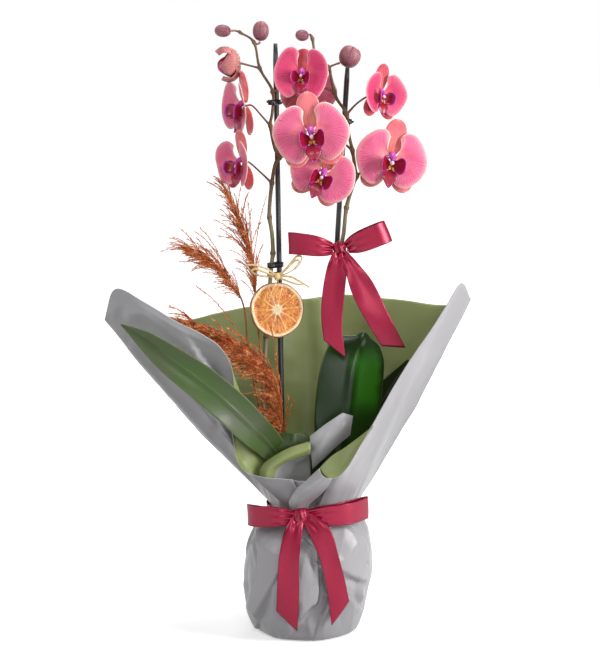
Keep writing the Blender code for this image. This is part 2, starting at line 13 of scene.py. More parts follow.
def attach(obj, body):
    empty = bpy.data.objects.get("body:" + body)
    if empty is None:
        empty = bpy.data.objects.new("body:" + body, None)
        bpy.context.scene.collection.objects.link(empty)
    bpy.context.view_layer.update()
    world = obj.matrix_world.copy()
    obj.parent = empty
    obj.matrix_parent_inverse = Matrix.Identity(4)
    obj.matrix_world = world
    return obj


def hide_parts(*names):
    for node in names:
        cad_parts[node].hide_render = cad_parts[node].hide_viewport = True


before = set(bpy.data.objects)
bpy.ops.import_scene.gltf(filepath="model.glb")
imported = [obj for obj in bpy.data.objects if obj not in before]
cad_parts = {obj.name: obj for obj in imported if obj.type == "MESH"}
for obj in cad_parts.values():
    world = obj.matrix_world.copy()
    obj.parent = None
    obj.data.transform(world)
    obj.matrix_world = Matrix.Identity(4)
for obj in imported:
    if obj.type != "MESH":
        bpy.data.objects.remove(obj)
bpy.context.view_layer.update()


# ---------------------------------------------------------------------------------------------
# The pot and what is in it. A thin brown nursery pot stands inside the wrapper, filled with
# bark chips for an orchid's roots; two ribbed black plastic stakes are pushed down through them.

MM = 0.001


def tint(red, green, blue):
    """A colour given as it looks on a screen, from 0 to 255, turned to linear light."""
    parts = [level / 255 for level in (red, green, blue)]
    return (*[p / 12.92 if p < 0.04045 else ((p + 0.055) / 1.055) ** 2.4 for p in parts], 1)


class Value:
    """A shader socket that can be used in sums: each operator adds its own Math node."""

    def __init__(self, finish, socket):
        self.finish = finish
        self.socket = socket

    def sum(self, operation, *values):
        return self.finish.node("ShaderNodeMath", {"operation": operation}, dict(enumerate(values)))

    def __add__(self, other):
        return self.sum('ADD', self, other)

    def __sub__(self, other):
        return self.sum('SUBTRACT', self, other)

    def __rsub__(self, other):
        return self.sum('SUBTRACT', other, self)

    def __mul__(self, other):
        return self.sum('MULTIPLY', self, other)

    def __pow__(self, other):
        return self.sum('POWER', self, other)

    def sine(self):
        return self.sum('SINE', self)

    def size(self):
        return self.sum('ABSOLUTE', self)

    def most(self, other):
        return self.sum('MAXIMUM', self, other)

    def step(self, low, high):
        """A smooth rise from 0 at low to 1 at high."""
        settings = {"interpolation_type": 'SMOOTHSTEP'}
        return self.finish.node("ShaderNodeMapRange", settings, {0: self, 1: low, 2: high})

    def mix(self, first, second):
        """The first colour where this value is 0, and the second where it is 1."""
        settings = {"data_type": 'RGBA'}
        return self.finish.node("ShaderNodeMix", settings, {0: self, 6: first, 7: second}, out=2)


class Finish:
    """A material and the nodes that feed its shader."""

    def __init__(self, name, **constants):
        self.material = bpy.data.materials.new(name)
        self.material.use_nodes = True
        self.tree = self.material.node_tree
        self.shader = self.tree.nodes["Principled BSDF"]
        self.surface(**constants)

    def node(self, kind, settings=None, sockets=None, out=0):
        """Any node: its settings first, then the values or links of its sockets."""
        made = self.tree.nodes.new(kind)
        for name, value in (settings or {}).items():
            if name == "stops":
                self.fill(made.color_ramp, value)
            else:
                setattr(made, name, value)
        for name, value in (sockets or {}).items():
            self.feed(made.inputs[name], value)
        return Value(self, made.outputs[out])

    def feed(self, socket, value):
        if isinstance(value, Value):
            self.tree.links.new(value.socket, socket)
        else:
            socket.default_value = value

    def fill(self, ramp, stops):
        while len(ramp.elements) < len(stops):
            ramp.elements.new(0.5)
        for element, (position, colour) in zip(ramp.elements, stops):
            element.position = position
            element.color = colour

    def surface(self, **sockets):
        for name, value in sockets.items():
            self.feed(self.shader.inputs[name.replace("_", " ")], value)

    def ramp(self, value, *stops):
        return self.node("ShaderNodeValToRGB", {"stops": stops}, {0: value})

    def point(self):
        """The place on the object, in metres."""
        return self.node("ShaderNodeTexCoord", out=3)

    def axes(self, vector):
        """The three parts of a vector."""
        parts = self.node("ShaderNodeSeparateXYZ", sockets={0: vector})
        return [Value(self, socket) for socket in parts.socket.node.outputs]

    def across_and_along(self):
        """The piece's own map: from -1 to 1 across it, and from 0 to 1 along it."""
        across, along, _ = self.axes(self.node("ShaderNodeTexCoord", out=2))
        return across * 2 - 1, along

    def stretched(self, vector, scale):
        """A vector scaled by a different factor along each axis, for grain that runs one way."""
        settings = {"operation": 'MULTIPLY'}
        return self.node("ShaderNodeVectorMath", settings, {0: vector, 1: scale})

    def grain(self, scale, detail=3, vector=None):
        sockets = {"Vector": vector or self.point(), "Scale": scale, "Detail": detail}
        return self.node("ShaderNodeTexNoise", sockets=sockets)

    def relief(self, height, distance, strength=1.0):
        sockets = {"Height": height, "Distance": distance, "Strength": strength}
        self.surface(Normal=self.node("ShaderNodeBump", sockets=sockets))


def route(*points):
    """Points given in millimetres."""
    return [Vector(point) * MM for point in points]


def through(points, steps):
    """A smooth line through the points, with so many steps between each two."""
    ends = [2 * points[0] - points[1], *points, 2 * points[-1] - points[-2]]
    line = []
    for a, b, c, d in zip(ends, ends[1:], ends[2:], ends[3:]):
        for step in range(steps):
            t = step / steps
            bend = (2 * a - 5 * b + 4 * c - d) * t * t + (3 * b - a - 3 * c + d) * t ** 3
            line.append((2 * b + (c - a) * t + bend) / 2)
    return line + [points[-1].copy()]


def heading(line, i):
    """The direction of a line at one of its points."""
    return (line[min(i + 1, len(line) - 1)] - line[max(i - 1, 0)]).normalized()


def turns_of(count):
    """So many even turns round a ring, as angles."""
    return [2 * pi * k / count for k in range(count)]


def spread(values, share):
    """The value at a share, from 0 to 1, along an evenly spaced list."""
    spot = min(max(share, 0), 1) * (len(values) - 1)
    low = min(int(spot), len(values) - 2)
    return values[low] + (values[low + 1] - values[low]) * (spot - low)


class Shape:
    """Points and faces gathered from several parts, each face with its finish and its map."""

    def __init__(self):
        self.points = []
        self.faces = []
        self.maps = []
        self.slots = []

    def net(self, rows, slot=0, ring=False):
        """A net of points; its map runs from 0 to 1 across each row and along the rows."""
        start = len(self.points)
        count = len(rows[0])
        spans = count if ring else count - 1
        for row in rows:
            self.points += row
        for i in range(len(rows) - 1):
            low, high = i / (len(rows) - 1), (i + 1) / (len(rows) - 1)
            for k in range(spans):
                here, there = start + i * count + k, start + i * count + (k + 1) % count
                self.faces.append((here, there, there + count, here + count))
                left, right = k / spans, (k + 1) / spans
                self.maps += [(left, low), (right, low), (right, high), (left, high)]
                self.slots.append(slot)

    def lid(self, first, count, slot, flip):
        """A face over a ring of points, so that a tube's end is closed."""
        corners = [first + k for k in range(count)]
        self.faces.append(corners[::-1] if flip else corners)
        self.maps += [(0.5, 0.5)] * count
        self.slots.append(slot)

    def barrel(self, rings, slot=0):
        """A net of rings that is closed by a lid at each end."""
        first, count = len(self.points), len(rings[0])
        self.net(rings, slot, ring=True)
        self.lid(first, count, slot, flip=True)
        self.lid(len(self.points) - count, count, slot, flip=False)

    def tube(self, line, radii, slot=0, sides=10, flat=1.0, start=None):
        """A closed tube along a line; `flat` under 1 presses it into a strap."""
        side = start or (line[1] - line[0]).orthogonal().normalized()
        rings = []
        for i, centre in enumerate(line):
            along = heading(line, i)
            side = (side - along * side.dot(along)).normalized()
            other = along.cross(side) * flat
            radius = spread(radii, i / (len(line) - 1))
            rings.append([centre + radius * (side * cos(a) + other * sin(a))
                          for a in turns_of(sides)])
        self.barrel(rings, slot)

    def egg(self, centre, axis, half_length, half_width, slot=0, sides=16, rings=10):
        """A closed egg along an axis."""
        axis = axis.normalized()
        line = []
        radii = []
        for i in range(rings + 1):
            a = pi * (0.02 + 0.96 * i / rings)
            line.append(centre - axis * half_length * cos(a))
            radii.append(half_width * sin(a))
        self.tube(line, radii, slot, sides)

    def made(self, name, finishes, slot, stands_for=(), wall=0.0, back=0):
        """The finished piece, which rides on the bouquet and stands for these solids.

        `wall` thickens a sheet, and `back` is how much further down the list of finishes the one
        of its back face stands.
        """
        mesh = bpy.data.meshes.new(name)
        mesh.from_pydata(self.points, [], self.faces)
        mesh.uv_layers.new(name="map").data.foreach_set("uv", [x for uv in self.maps for x in uv])
        mesh.polygons.foreach_set("material_index", self.slots)
        for finish in finishes:
            mesh.materials.append(finish.material)
        mesh.shade_smooth()
        piece = bpy.data.objects.new(name, mesh)
        bpy.context.scene.collection.objects.link(piece)
        if wall:
            shell = piece.modifiers.new("wall", 'SOLIDIFY')
            shell.thickness = wall
            shell.offset = 0
            shell.material_offset = back
            shell.material_offset_rim = 0
        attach(piece, "root")
        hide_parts(*stands_for)
        return piece


pot_plastic = Finish("pot_brown_plastic", Base_Color=tint(96, 66, 48), Roughness=0.42)
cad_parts["pot"].data.materials[0] = pot_plastic.material

stake_plastic = Finish("stake_black_plastic", Roughness=0.34)
grit = stake_plastic.grain(420, 2)
stake_plastic.surface(Base_Color=grit.mix(tint(30, 30, 32), tint(58, 56, 58)))
stake_plastic.relief(grit, 0.0002, 0.25)
STAKES = {
    "stake_left": route((-24.6, 8, 16), (-29.0, 8, 306), (-34.8, 8, 680)),
    "stake_right": route((11.0, 8, 16), (28.8, 8, 334), (46.9, 8, 655)),
}
STAKE_RADIUS = 3.0 * MM
STAKE_RIBS, RIB_DEPTH = 8, 0.045
TIP_TAPER, TIP_RISE = 0.72, 0.6 * MM
for name, line in STAKES.items():
    stake = Shape()
    lengths = through(line, 20)
    rings = []
    for i, centre in enumerate(lengths):
        taper = 1.0 if i < len(lengths) - 1 else TIP_TAPER
        ring = []
        for a in turns_of(4 * STAKE_RIBS):
            radius = STAKE_RADIUS * taper * (0.975 + RIB_DEPTH * cos(STAKE_RIBS * a))
            ring.append(centre + Vector((cos(a), sin(a), 0)) * radius)
        rings.append(ring)
    rings[-1] = [point + Vector((0, 0, TIP_RISE)) for point in rings[-1]]
    stake.barrel(rings)
    stake.made("ribbed_" + name, [stake_plastic], "stake_black", [name])

bark_fill = Finish("bark_fill", Roughness=0.95)
bark_fill.surface(Base_Color=bark_fill.grain(260, 4).mix(tint(38, 24, 16), tint(96, 62, 38)))
bark_fill.relief(bark_fill.grain(180, 5), 0.003, 1.0)
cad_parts["bark_medium"].data.materials[0] = bark_fill.material


# ---------------------------------------------------------------------------------------------
# The wrapper's flare. One wide sheet of stiff two-tone paper, satin grey outside and sage green
# inside, is gathered at the neck and opens into wings that are folded over at left and right.

NECK = Vector((9, 0, 0)) * MM
NECK_RADIUS = 52.0 * MM
FLARE_FOOT, FLARE_STEPS = 152.0 * MM, 96
PAPER = 0.8 * MM


def paper_face(name, light, dark, rough):
    """One face of the paper: an even tone, a faint long grain and soft wrinkles."""
    face = Finish(name, Specular_IOR_Level=0.5)
    cloud = face.grain(9, 3)
    fibre = face.grain(1.0, 3, face.stretched(face.point(), (260, 260, 90)))
    face.surface(Base_Color=(cloud.step(0.3, 0.75) * 0.5 + fibre * 0.14).mix(light, dark),
                 Roughness=fibre * 0.08 + rough)
    face.relief(face.grain(26, 4) * 0.8 + fibre * 0.02, 0.0035, 0.35)
    return face


grey_face = paper_face("paper_satin_grey", tint(166, 164, 167), tint(146, 144, 147), 0.32)
green_face = paper_face("paper_sage_green", tint(134, 145, 92), tint(110, 118, 66), 0.42)

LEFT_FOLD, RIGHT_FOLD, BACK_MIDDLE = (-229, -28, 370), (187, -18, 392), (-3, 105, 376)
FLARE_PANELS = [
    # The panel's first and last angle at the neck in degrees, how its gathers crowd, its outward
    # bulge, and its free edge.
    (262, 183, 1.6, 0.0, route(
        (-15, -76, 195), (-54, -77, 199), (-75, -77, 212), (-83, -82, 255), (-82, -86, 318),
        (-94, -87, 346), (-116, -84, 362), (-143, -78, 375), (-181, -68, 396),
        (-214, -58, 409), LEFT_FOLD)),
    (177, 91, 1.0, 6.0, route(
        (-229, -26.5, 370), (-219, 0, 392), (-186, 40, 372), (-151, 70, 355), (-110, 88, 361),
        (-70, 97, 368), (-36, 102, 372), BACK_MIDDLE)),
    (89, 3, 1.0, 6.0, route(
        (0, 105, 376), (46, 105, 381), (93, 98, 378), (130, 86, 376), (166, 66, 374),
        (184, 26, 384), (187, -16.5, 392))),
    (-3, -88, 1.0, 0.0, route(
        RIGHT_FOLD, (175, -44, 414), (158, -55, 391), (138, -63, 361), (116, -71, 330),
        (96, -78, 298), (74, -84, 259), (60, -89, 236), (47, -92, 214), (37, -93, 203),
        (27, -92, 199))),
]
WING_CREASES = [
    # Points in x and z, the height, how far it fades above the line and below it, and what the
    # part below does: 1 rises with it and a minus sinks under it.
    (((-208, 377), (-180, 381), (-152, 363), (-130, 344), (-108, 318), (-92, 296)), 11.0, 15, 7, 1),
    (((-164, 322), (-131, 285), (-98, 246)), 9.0, 7, 14, 1),
    (((-204, 344), (-160, 290), (-104, 226)), 7.0, 10, 6, 1),
    (((-70, 206), (-92, 252), (-92, 300), (-112, 330)), 8.0, 12, 9, -0.8),
]
PANEL_CREASES = [
    # The creases of the back panels, given in the same way; a height below 0 dents the paper.
    (((22, 225), (18, 315), (14, 384)), -9.0, 16, 6, 1),
    (((-34, 215), (-36, 300), (-40, 374)), -7.0, 8, 16, 1),
    (((66, 252), (76, 320), (84, 382)), -6.0, 9, 16, 1),
    (((-86, 270), (-100, 320), (-112, 362)), -4.0, 14, 9, 1),
]
FOLD_REACH, FOLD_TURN, FOLD_END = 90.0, 4.2, 12.0
RUMPLE_REACH = 0.16
WING_OUT = Vector((-0.25, -0.95, 0.1))


def flare_columns():
    """Pairs of a neck angle and a free edge point, right round the sheet."""
    columns = []
    for first, last, crowd, bulge, edge in FLARE_PANELS:
        fine = through(edge, 8)
        for i, tip in enumerate(fine):
            share = i / (len(fine) - 1)
            share = 1 - (1 - share) ** crowd
            columns.append((first + (last - first) * share, tip, bulge))
    return columns


def fold_lift(x, z, folds):
    """How far folds lift the paper at x and z: each rises to a line, and falls away from it.

    The paper turns over a fold within FOLD_TURN, and a fold dies out over FOLD_END at its ends.
    """
    lift = 0.0
    for line, high, above, below, under in folds:
        nearest, side = FOLD_REACH, 1
        for (ax, az), (bx, bz) in zip(line, line[1:]):
            dx, dz = bx - ax, bz - az
            share = min(1, max(0, ((x - ax) * dx + (z - az) * dz) / (dx * dx + dz * dz)))
            gap = hypot(x - ax - share * dx, z - az - share * dz)
            if gap < nearest:
                nearest, side = gap, dx * (z - az) - dz * (x - ax)
        ends = min(hypot(x - line[0][0], z - line[0][1]), hypot(x - line[-1][0], z - line[-1][1]))
        on_top = min(1, max(0, 0.5 + (nearest if side > 0 else -nearest) / FOLD_TURN))
        rise = on_top * exp(-nearest / above) + (1 - on_top) * under * exp(-nearest / below)
        lift += high * rise * min(1, (ends + 1) / FOLD_END)
    return lift * MM


def flare_rows():
    """The sheet from the neck up: rumpled where it is gathered, swollen behind, creased, adrift."""
    columns = flare_columns()
    rows = []
    for i in range(FLARE_STEPS + 1):
        up = i / FLARE_STEPS
        row = []
        for turn, tip, bulge in columns:
            a = radians(turn)
            outward = Vector((cos(a), sin(a), 0))
            behind = tip.y > 0
            root = NECK + outward * (NECK_RADIUS - PAPER) + Vector((0, 0, FLARE_FOOT))
            point = root.lerp(tip, up) + outward * bulge * MM * sin(pi * up)
            near = exp(-up / RUMPLE_REACH)
            rumple = (1.4 * sin(23 * a) + 0.9 * sin(37 * a + 1.3)) * (1 if behind else 0.4)
            point += outward * MM * rumple * near * (1 - near * 0.4)
            if behind:
                swell = 4.5 * sin(5 * a + 0.9) + 2.2 * sin(11 * a + 2.0 + 1.5 * up)
                point += outward * MM * swell * sin(pi * min(1, up * 0.62)) * min(1, tip.y / 0.06)
                if tip.y > 50 * MM:
                    point += outward * fold_lift(point.x / MM, point.z / MM, PANEL_CREASES)
            elif tip.x < 0:
                lift = fold_lift(point.x / MM, point.z / MM, WING_CREASES)
                point += WING_OUT * lift * min(1, (1.02 - up) / 0.06)
            drift = noise.noise(point * 22) * 3.2 + noise.noise(point * 60) * 0.8
            row.append(point + outward * drift * MM * sin(pi * min(1, up * 0.9)) * 0.7)
        rows.append(row)
    return rows


def area_of(rows):
    """The area of a net, in square metres."""
    total = 0.0
    for low, high in zip(rows, rows[1:]):
        for a, b, c, d in zip(low, low[1:], high[1:], high):
            total += (b - a).cross(d - a).length / 2 + (b - c).cross(d - c).length / 2
    return total


def line_length(line):
    """The length of a line through its points."""
    return sum((b - a).length for a, b in zip(line, line[1:]))


def cut_paper(nets):
    """Works out the rectangle of flat paper a piece is cut from, and its own area, but keeps none
    of them.
    """
    width = max(line_length(row) for rows in nets for row in rows)
    length = sum(max(line_length(column) for column in zip(*rows)) for rows in nets)
    sum(area_of(rows) for rows in nets)


flare_net = [row[::-1] for row in flare_rows()]
flare_shape = Shape()
flare_shape.net(flare_net)
flare = flare_shape.made("flared_wrapper", [grey_face, green_face], "paper_grey", [
    "wrapper_front_left", "wrapper_back_left", "wrapper_back_right", "wrapper_front_right",
], wall=PAPER, back=1)
cut_paper([flare_net])


def smooth_net(rows, steps=8):
    """A net of a few points made fine and smooth both ways."""
    across = [through(row, steps) for row in rows]
    columns = [through(list(column), steps) for column in zip(*across)]
    return [list(row) for row in zip(*columns)]


# The sheet's lower front corners are turned over: one is rolled into a cone that shows green, one
# makes a band round a grey cup, and the last stands up as a stiff pointed flap.

def turned_paper(name, node, nets):
    """A turned corner: nets whose front is grey in slot 0, and green in slot 1."""
    turned = Shape()
    sheets = [((smooth_net(rows) if len(rows) > 2 else rows)[::-1], slot) for rows, slot in nets]
    for rows, slot in sheets:
        turned.net(rows, slot)
    piece = turned.made(name, [grey_face, green_face, grey_face], "paper_grey", node, wall=PAPER,
                        back=1)
    cut_paper([rows for rows, _ in sheets])


turned_paper("paper_front_roll", ["wrapper_front_roll"], [
    ([route((15, -74, 208), (28, -73, 221), (42, -72, 230), (58, -73, 242), (75, -79, 257)),
      route((19, -82, 202), (30, -82, 208), (43, -81, 216), (58, -80, 234), (75, -81, 257)),
      route((26, -91, 199), (36, -92, 202), (47, -91, 213), (60, -88, 235), (75, -83, 258))], 1),
    ([route((15, -75, 208), (17, -87, 204), (22, -93, 201), (29, -93.5, 200)),
      route((1, -76, 195), (5, -87, 191), (13, -91, 190), (24, -90, 190)),
      route((-11, -74, 184), (-6, -83, 180), (3, -84, 178), (15, -80, 178)),
      route((-19, -66, 168), (-13, -73, 165), (-6, -72, 164), (4, -64, 164)),
      route((-17, -54, 153), (-12, -59, 153), (-6, -57, 153), (2, -52, 153))], 0)])
turned_paper("paper_collar", ["wrapper_collar"], [
    ([route((-54, -65, 194), (-51, -66, 207), (-41, -66, 217), (-19, -64, 229), (5, -60, 236)),
      route((-46, -73, 194), (-43, -74, 206), (-34, -74, 214), (-17, -72, 223), (5, -69, 230)),
      route((-37, -68, 193), (-34, -69, 204), (-27, -69, 211), (-16, -68, 216), (5, -64, 222))], 1),
    ([route((-37, -67, 194), (-34, -68, 205), (-27, -68, 212), (-16, -67, 217), (5, -63, 223)),
      route((-34, -58, 190), (-29, -56, 198), (-22, -55, 203), (-13, -54, 207), (5, -52, 210)),
      route((-28, -53, 182), (-23, -51, 186), (-17, -50, 188), (-9, -49, 190), (5, -48, 192)),
      route((-19, -47, 167), (-13, -47, 167), (-7, -47, 167), (-1, -47, 167), (6, -47, 167))], 0)])
turned_paper("paper_corner_flap", ["wrapper_corner_flap"], [
    ([route((4, -62, 242), (22, -59, 255.5), (41, -57, 268), (53, -55, 264)),
      route((7, -66, 205), (21, -61, 217), (36, -59, 231), (50, -60, 243))], 0)])


# Where the two front edges meet, the paper is pinched into a few deep tucks above the ribbon.

TUCK_ROWS = [
    route((-40, -66, 196), (-22, -72, 193), (-2, -74, 193), (18, -78, 196), (40, -80, 206)),
    route((-34, -58, 180), (-18, -62, 178), (0, -64, 178), (16, -66, 180), (34, -68, 186)),
    route((-26, -50, 164), (-12, -53, 163), (2, -54, 163), (14, -55, 164), (28, -54, 166)),
    route((-20, -45, 152), (-8, -47, 152), (4, -48, 152), (14, -48, 152), (24, -46, 152)),
]
TUCKS, TUCK_DEPTH, TUCK_SLOPE = 5.5, 5.0, 0.78
tuck = Shape()
tuck_net = smooth_net(TUCK_ROWS, 12)
for i, row in enumerate(tuck_net):
    down = i / (len(tuck_net) - 1)
    open_out = sin(pi * min(1, 0.25 + down * 0.7))
    for k, point in enumerate(row):
        saw = (TUCKS * k / (len(row) - 1) + 0.35 * sin(4 * down)) % 1
        deep = (saw / TUCK_SLOPE if saw < TUCK_SLOPE else (1 - saw) / (1 - TUCK_SLOPE)) - 0.5
        point.y -= MM * (TUCK_DEPTH * deep * open_out + 1.4 * noise.noise(point * 70))
tuck.net(tuck_net[::-1])
tucks = tuck.made("paper_front_tucks", [grey_face, green_face], "paper_grey", wall=PAPER, back=1)
cut_paper([tuck_net])


# ---------------------------------------------------------------------------------------------
# The pouch. Below the neck the same paper is drawn round the pot in deep flat pleats, which lie
# over one another and crumple where they turn under the base.

POUCH_PROFILE = [(48, 0), (55, 2.5), (60.5, 9), (66.5, 30), (72, 66), (71.5, 94), (68, 116),
                 (60.5, 130), (53.5, 139), (51.4, 148), (51.2, 162)]
POUCH_AROUND = 400
POUCH_NECK, POUCH_HIGH, POUCH_LIMIT = 137.5 * MM, 150 * MM, 76.5 * MM
GATHER_EDGE, GATHER_MEAN = 0.88, 8.4
POUCH_GATHERS = [
    # How many gathers go round, how deep, how far each leans on its way up, and where they start.
    (6, 8.0, 0.55, 0.35), (9, 5.0, -0.8, 0.7), (17, 1.8, 1.2, 0.2),
]
PLEATS = [
    # The pleats that lie over one another in front, given as the creases of the wing are.
    (((-60, 139), (-54, 119), (-52, 98), (-55, 73), (-62, 45)), 7.8, 26, 9, -1.1),
    (((-53, 18), (-48, 43), (-40, 68), (-29, 90)), 7.8, 22, 10, -0.9),
    (((-6, 130), (10, 114), (11, 97), (15, 108), (22, 124)), 6.8, 12, 10, -1.0),
    (((-10, 24), (4, 44), (12, 50), (15, 68), (13, 98)), 7.8, 16, 9, -0.9),
    (((17, 86), (22, 68), (26, 55), (17, 30)), 6.8, 12, 7, -0.9),
    (((68, 80), (59, 104), (52, 128), (34, 142)), 7.3, 13, 7, -0.9),
    (((73, 96), (67, 114), (60, 130), (48, 145)), 4.5, 9, 6, -0.8),
    (((44, 82), (57, 73), (71, 62)), 7.8, 22, 12, -1.1),
    (((60, 62), (61, 45), (65, 27)), 4.5, 9, 8, -0.8),
    (((66, 26), (52, 48), (43, 64)), 6.8, 14, 7, -0.8),
    (((-70, 114), (-62, 101), (-58, 82)), 3.5, 5, 6, -0.6),
    (((-26, 141), (-21, 122), (-24, 96)), 3.5, 12, 8, -0.6),
]
FACETS = [
    # Where the flat panels of the gathered paper meet, in degrees round, and how each line leans.
    (8, 14), (38, -12), (66, 10), (101, -14), (139, 12), (167, -10), (195, 12), (222, -10),
    (248, 12), (272, -14), (296, 12), (322, -12), (345, 10),
]


def facet(turn, share):
    """How far a flat panel stays inside a round of radius 1, at a turn in degrees."""
    lines = [place + lean * (share - 0.5) for place, lean in FACETS]
    lines = [lines[-1] - 360] + lines + [lines[0] + 360]
    for low, high in zip(lines, lines[1:]):
        if low <= turn < high:
            return cos(radians(high - low) / 2) / cos(radians(turn - (low + high) / 2)) - 1
    return 0.0


def pouch_rows():
    """Rings from the base to the neck, which drift over to it as the paper is drawn together."""
    profile = through([Vector((radius, 0, height)) * MM for radius, height in POUCH_PROFILE], 11)
    rows = []
    for place in profile:
        height = place.z
        drift = NECK.x * min(1, max(0, height) / POUCH_NECK) ** 3
        share = min(1, max(0, height / POUCH_HIGH))
        row = []
        for a in turns_of(POUCH_AROUND):
            # Gathers all round, which are stronger at the sides, and small crumples over them.
            pull = a + 0.32 * sin(2 * a + 1.0) + 0.30 * (1 - share) * sin(3 * a)
            pull += 0.14 * noise.noise(Vector((cos(a), sin(a), height * 22)) * 1.6)
            gather = 0.0
            for number, deep, lean, phase in POUCH_GATHERS:
                saw = (number * pull / (2 * pi) + lean * share + phase) % 1
                gather += deep * (saw ** 1.3 if saw < GATHER_EDGE else (1 - saw) * 7.1)
            crumple = 2.4 * abs(noise.noise(Vector((3.2 * cos(a), 3.2 * sin(a), height * 26))))
            # Everything fades at the base and the neck; the drawn pleats show in front and behind.
            fade = sin(pi * min(1, share * 0.80 + 0.14)) ** 0.8
            facing = min(1, abs(sin(a)) / 0.45)
            x, z = (drift + place.x * cos(a)) / MM, height / MM
            lift = fold_lift(x, z, PLEATS) if sin(a) < 0 else fold_lift(9 - x, z + 5, PLEATS)
            loose = (0.50 - 0.40 * facing) * (gather - GATHER_MEAN) + crumple + 2.0
            loose += place.x / MM * facet((degrees(a) + 8 * sin(4 * share)) % 360, share)
            radius = place.x + (loose * MM + lift * facing) * fade
            radius = min(radius, POUCH_LIMIT - 0.10 * max(0.0, radius - POUCH_LIMIT))
            row.append(Vector((drift + radius * cos(a), radius * sin(a), max(PAPER / 2, height))))
        rows.append(row)
    return rows


pouch_shape = Shape()
wall_rows = pouch_rows()
floor_rows = [[Vector((p.x * s, p.y * s, PAPER / 2)) for p in wall_rows[0]]
              for s in (0.03, 0.4, 0.8)]
pouch_shape.net(floor_rows + wall_rows, ring=True)
pouch_shape.lid(0, len(wall_rows[0]), 0, flip=True)
pouch = pouch_shape.made("gathered_pouch", [grey_face, green_face], "paper_grey",
                         ["wrapper_pouch"], wall=PAPER, back=1)
cut_paper([[row + row[:1] for row in floor_rows + wall_rows]])


# ---------------------------------------------------------------------------------------------
# The flower spikes. Two living stems come out of the crown and are clipped to their stakes; each
# bears flowers on short stalks, and every stalk leaves it at a swollen node with a dry bract.

stem_skin = Finish("stem_olive_skin", Roughness=0.48, Specular_IOR_Level=0.4)
_, _, stem_height = stem_skin.axes(stem_skin.point())
streak = stem_skin.grain(1.0, 3, stem_skin.stretched(stem_skin.point(), (900, 900, 60)))
lower_green = streak.mix(tint(112, 112, 82), tint(142, 136, 108))
upper_brown = streak.mix(tint(84, 60, 44), tint(128, 104, 66))
stem_skin.surface(Base_Color=stem_height.step(0.40, 0.56).mix(lower_green, upper_brown))
stem_skin.relief(streak, 0.0003, 0.4)

stalk_skin = Finish("stalk_brown_pink_skin", Roughness=0.45)
_, stalk_along = stalk_skin.across_and_along()
stalk_skin.surface(Base_Color=stalk_along.step(0.2, 1.0)
                   .mix(tint(108, 74, 58), tint(176, 112, 104)))

bract_skin = Finish("bract_dry_brown", Roughness=0.6)
bract_skin.surface(Base_Color=bract_skin.grain(300, 3).mix(tint(84, 58, 42), tint(132, 102, 72)))

LEFT_SPIKE = route(
    (-12, -1, 124), (-22, -3, 137), (-35, 1, 160), (-45, 1, 200), (-50, 0, 254), (-46, 0, 346),
    (-40, -1, 425), (-38, -1, 443), (-39, -1, 465), (-42, -1, 489), (-39, -1, 523),
    (-35, -1, 545), (-29.5, -1, 553), (-35.5, -1, 562), (-40.5, -1, 588), (-38.5, -1, 603),
    (-38, 0, 627), (-52.5, 0, 653), (-59, 0, 682), (-75.5, 0, 693.5))
RIGHT_SPIKE = route(
    (5, 12, 123), (8, 9, 150), (13, 1, 200), (19, -2, 260), (27, -2, 334), (37, -1, 430),
    (41, -1, 456), (43, -1, 467), (46, -1, 495), (53, -1, 520), (57.5, -1, 531), (56, -1, 537),
    (52.5, -1, 560), (48.5, -1, 578), (46, -1, 601), (34, -2, 620), (28, -2, 643),
    (25, -2, 654), (10.5, -2, 670), (7, -2, 686), (3.8, -2, 691.5))
SPIKE_RADII = [2.7, 2.7, 2.5, 2.4, 2.3, 2.1, 1.9, 1.8, 1.5, 1.2]
STALK_RADII = [1.7, 1.25, 1.1, 1.1, 1.25, 1.5]

FLOWERS = {
    # Centre, facing, roll in degrees, radius, how far the tips bend forward, how tall the petals
    # are for their width, and whether the flower takes the darker finishes of painted shade.
    "flower_front": ((5, -48, 583), (0.02, -0.99, 0.08), -6, 44, 1, 1, False),
    "flower_low": ((19, -33, 537), (0.0, -0.98, -0.05), 26, 39, 1, 1, False),
    "flower_top": ((-5, -22, 648), (-0.1, -0.97, 0.12), 4, 33, 8, 1.22, True),
    "flower_upper_right": ((83, -15, 625), (0.6, -0.78, 0.05), 10, 33, 12, 1, True),
    "flower_right": ((96, -25, 553), (0.15, -0.98, 0.0), 11, 43, 1, 1, False),
    "flower_behind": ((2, 17, 626), (0.15, 0.97, 0.15), 0, 34, 1, 1, True),
    "flower_left_upper": ((-70, -10, 611), (-0.90, -0.43, 0.0), 0, 39, 13, 1, False),
    "flower_left_lower": ((-73, -20, 548), (-0.78, -0.62, 0.0), 0, 36, 13, 1, False),
}


def flower_back(name):
    """Where a stalk meets the back of a flower, and a point straight behind it."""
    centre, facing = FLOWERS[name][:2]
    ahead = Vector(facing).normalized() * MM
    return [Vector(centre) * MM - 10 * ahead, Vector(centre) * MM - 1.5 * ahead]


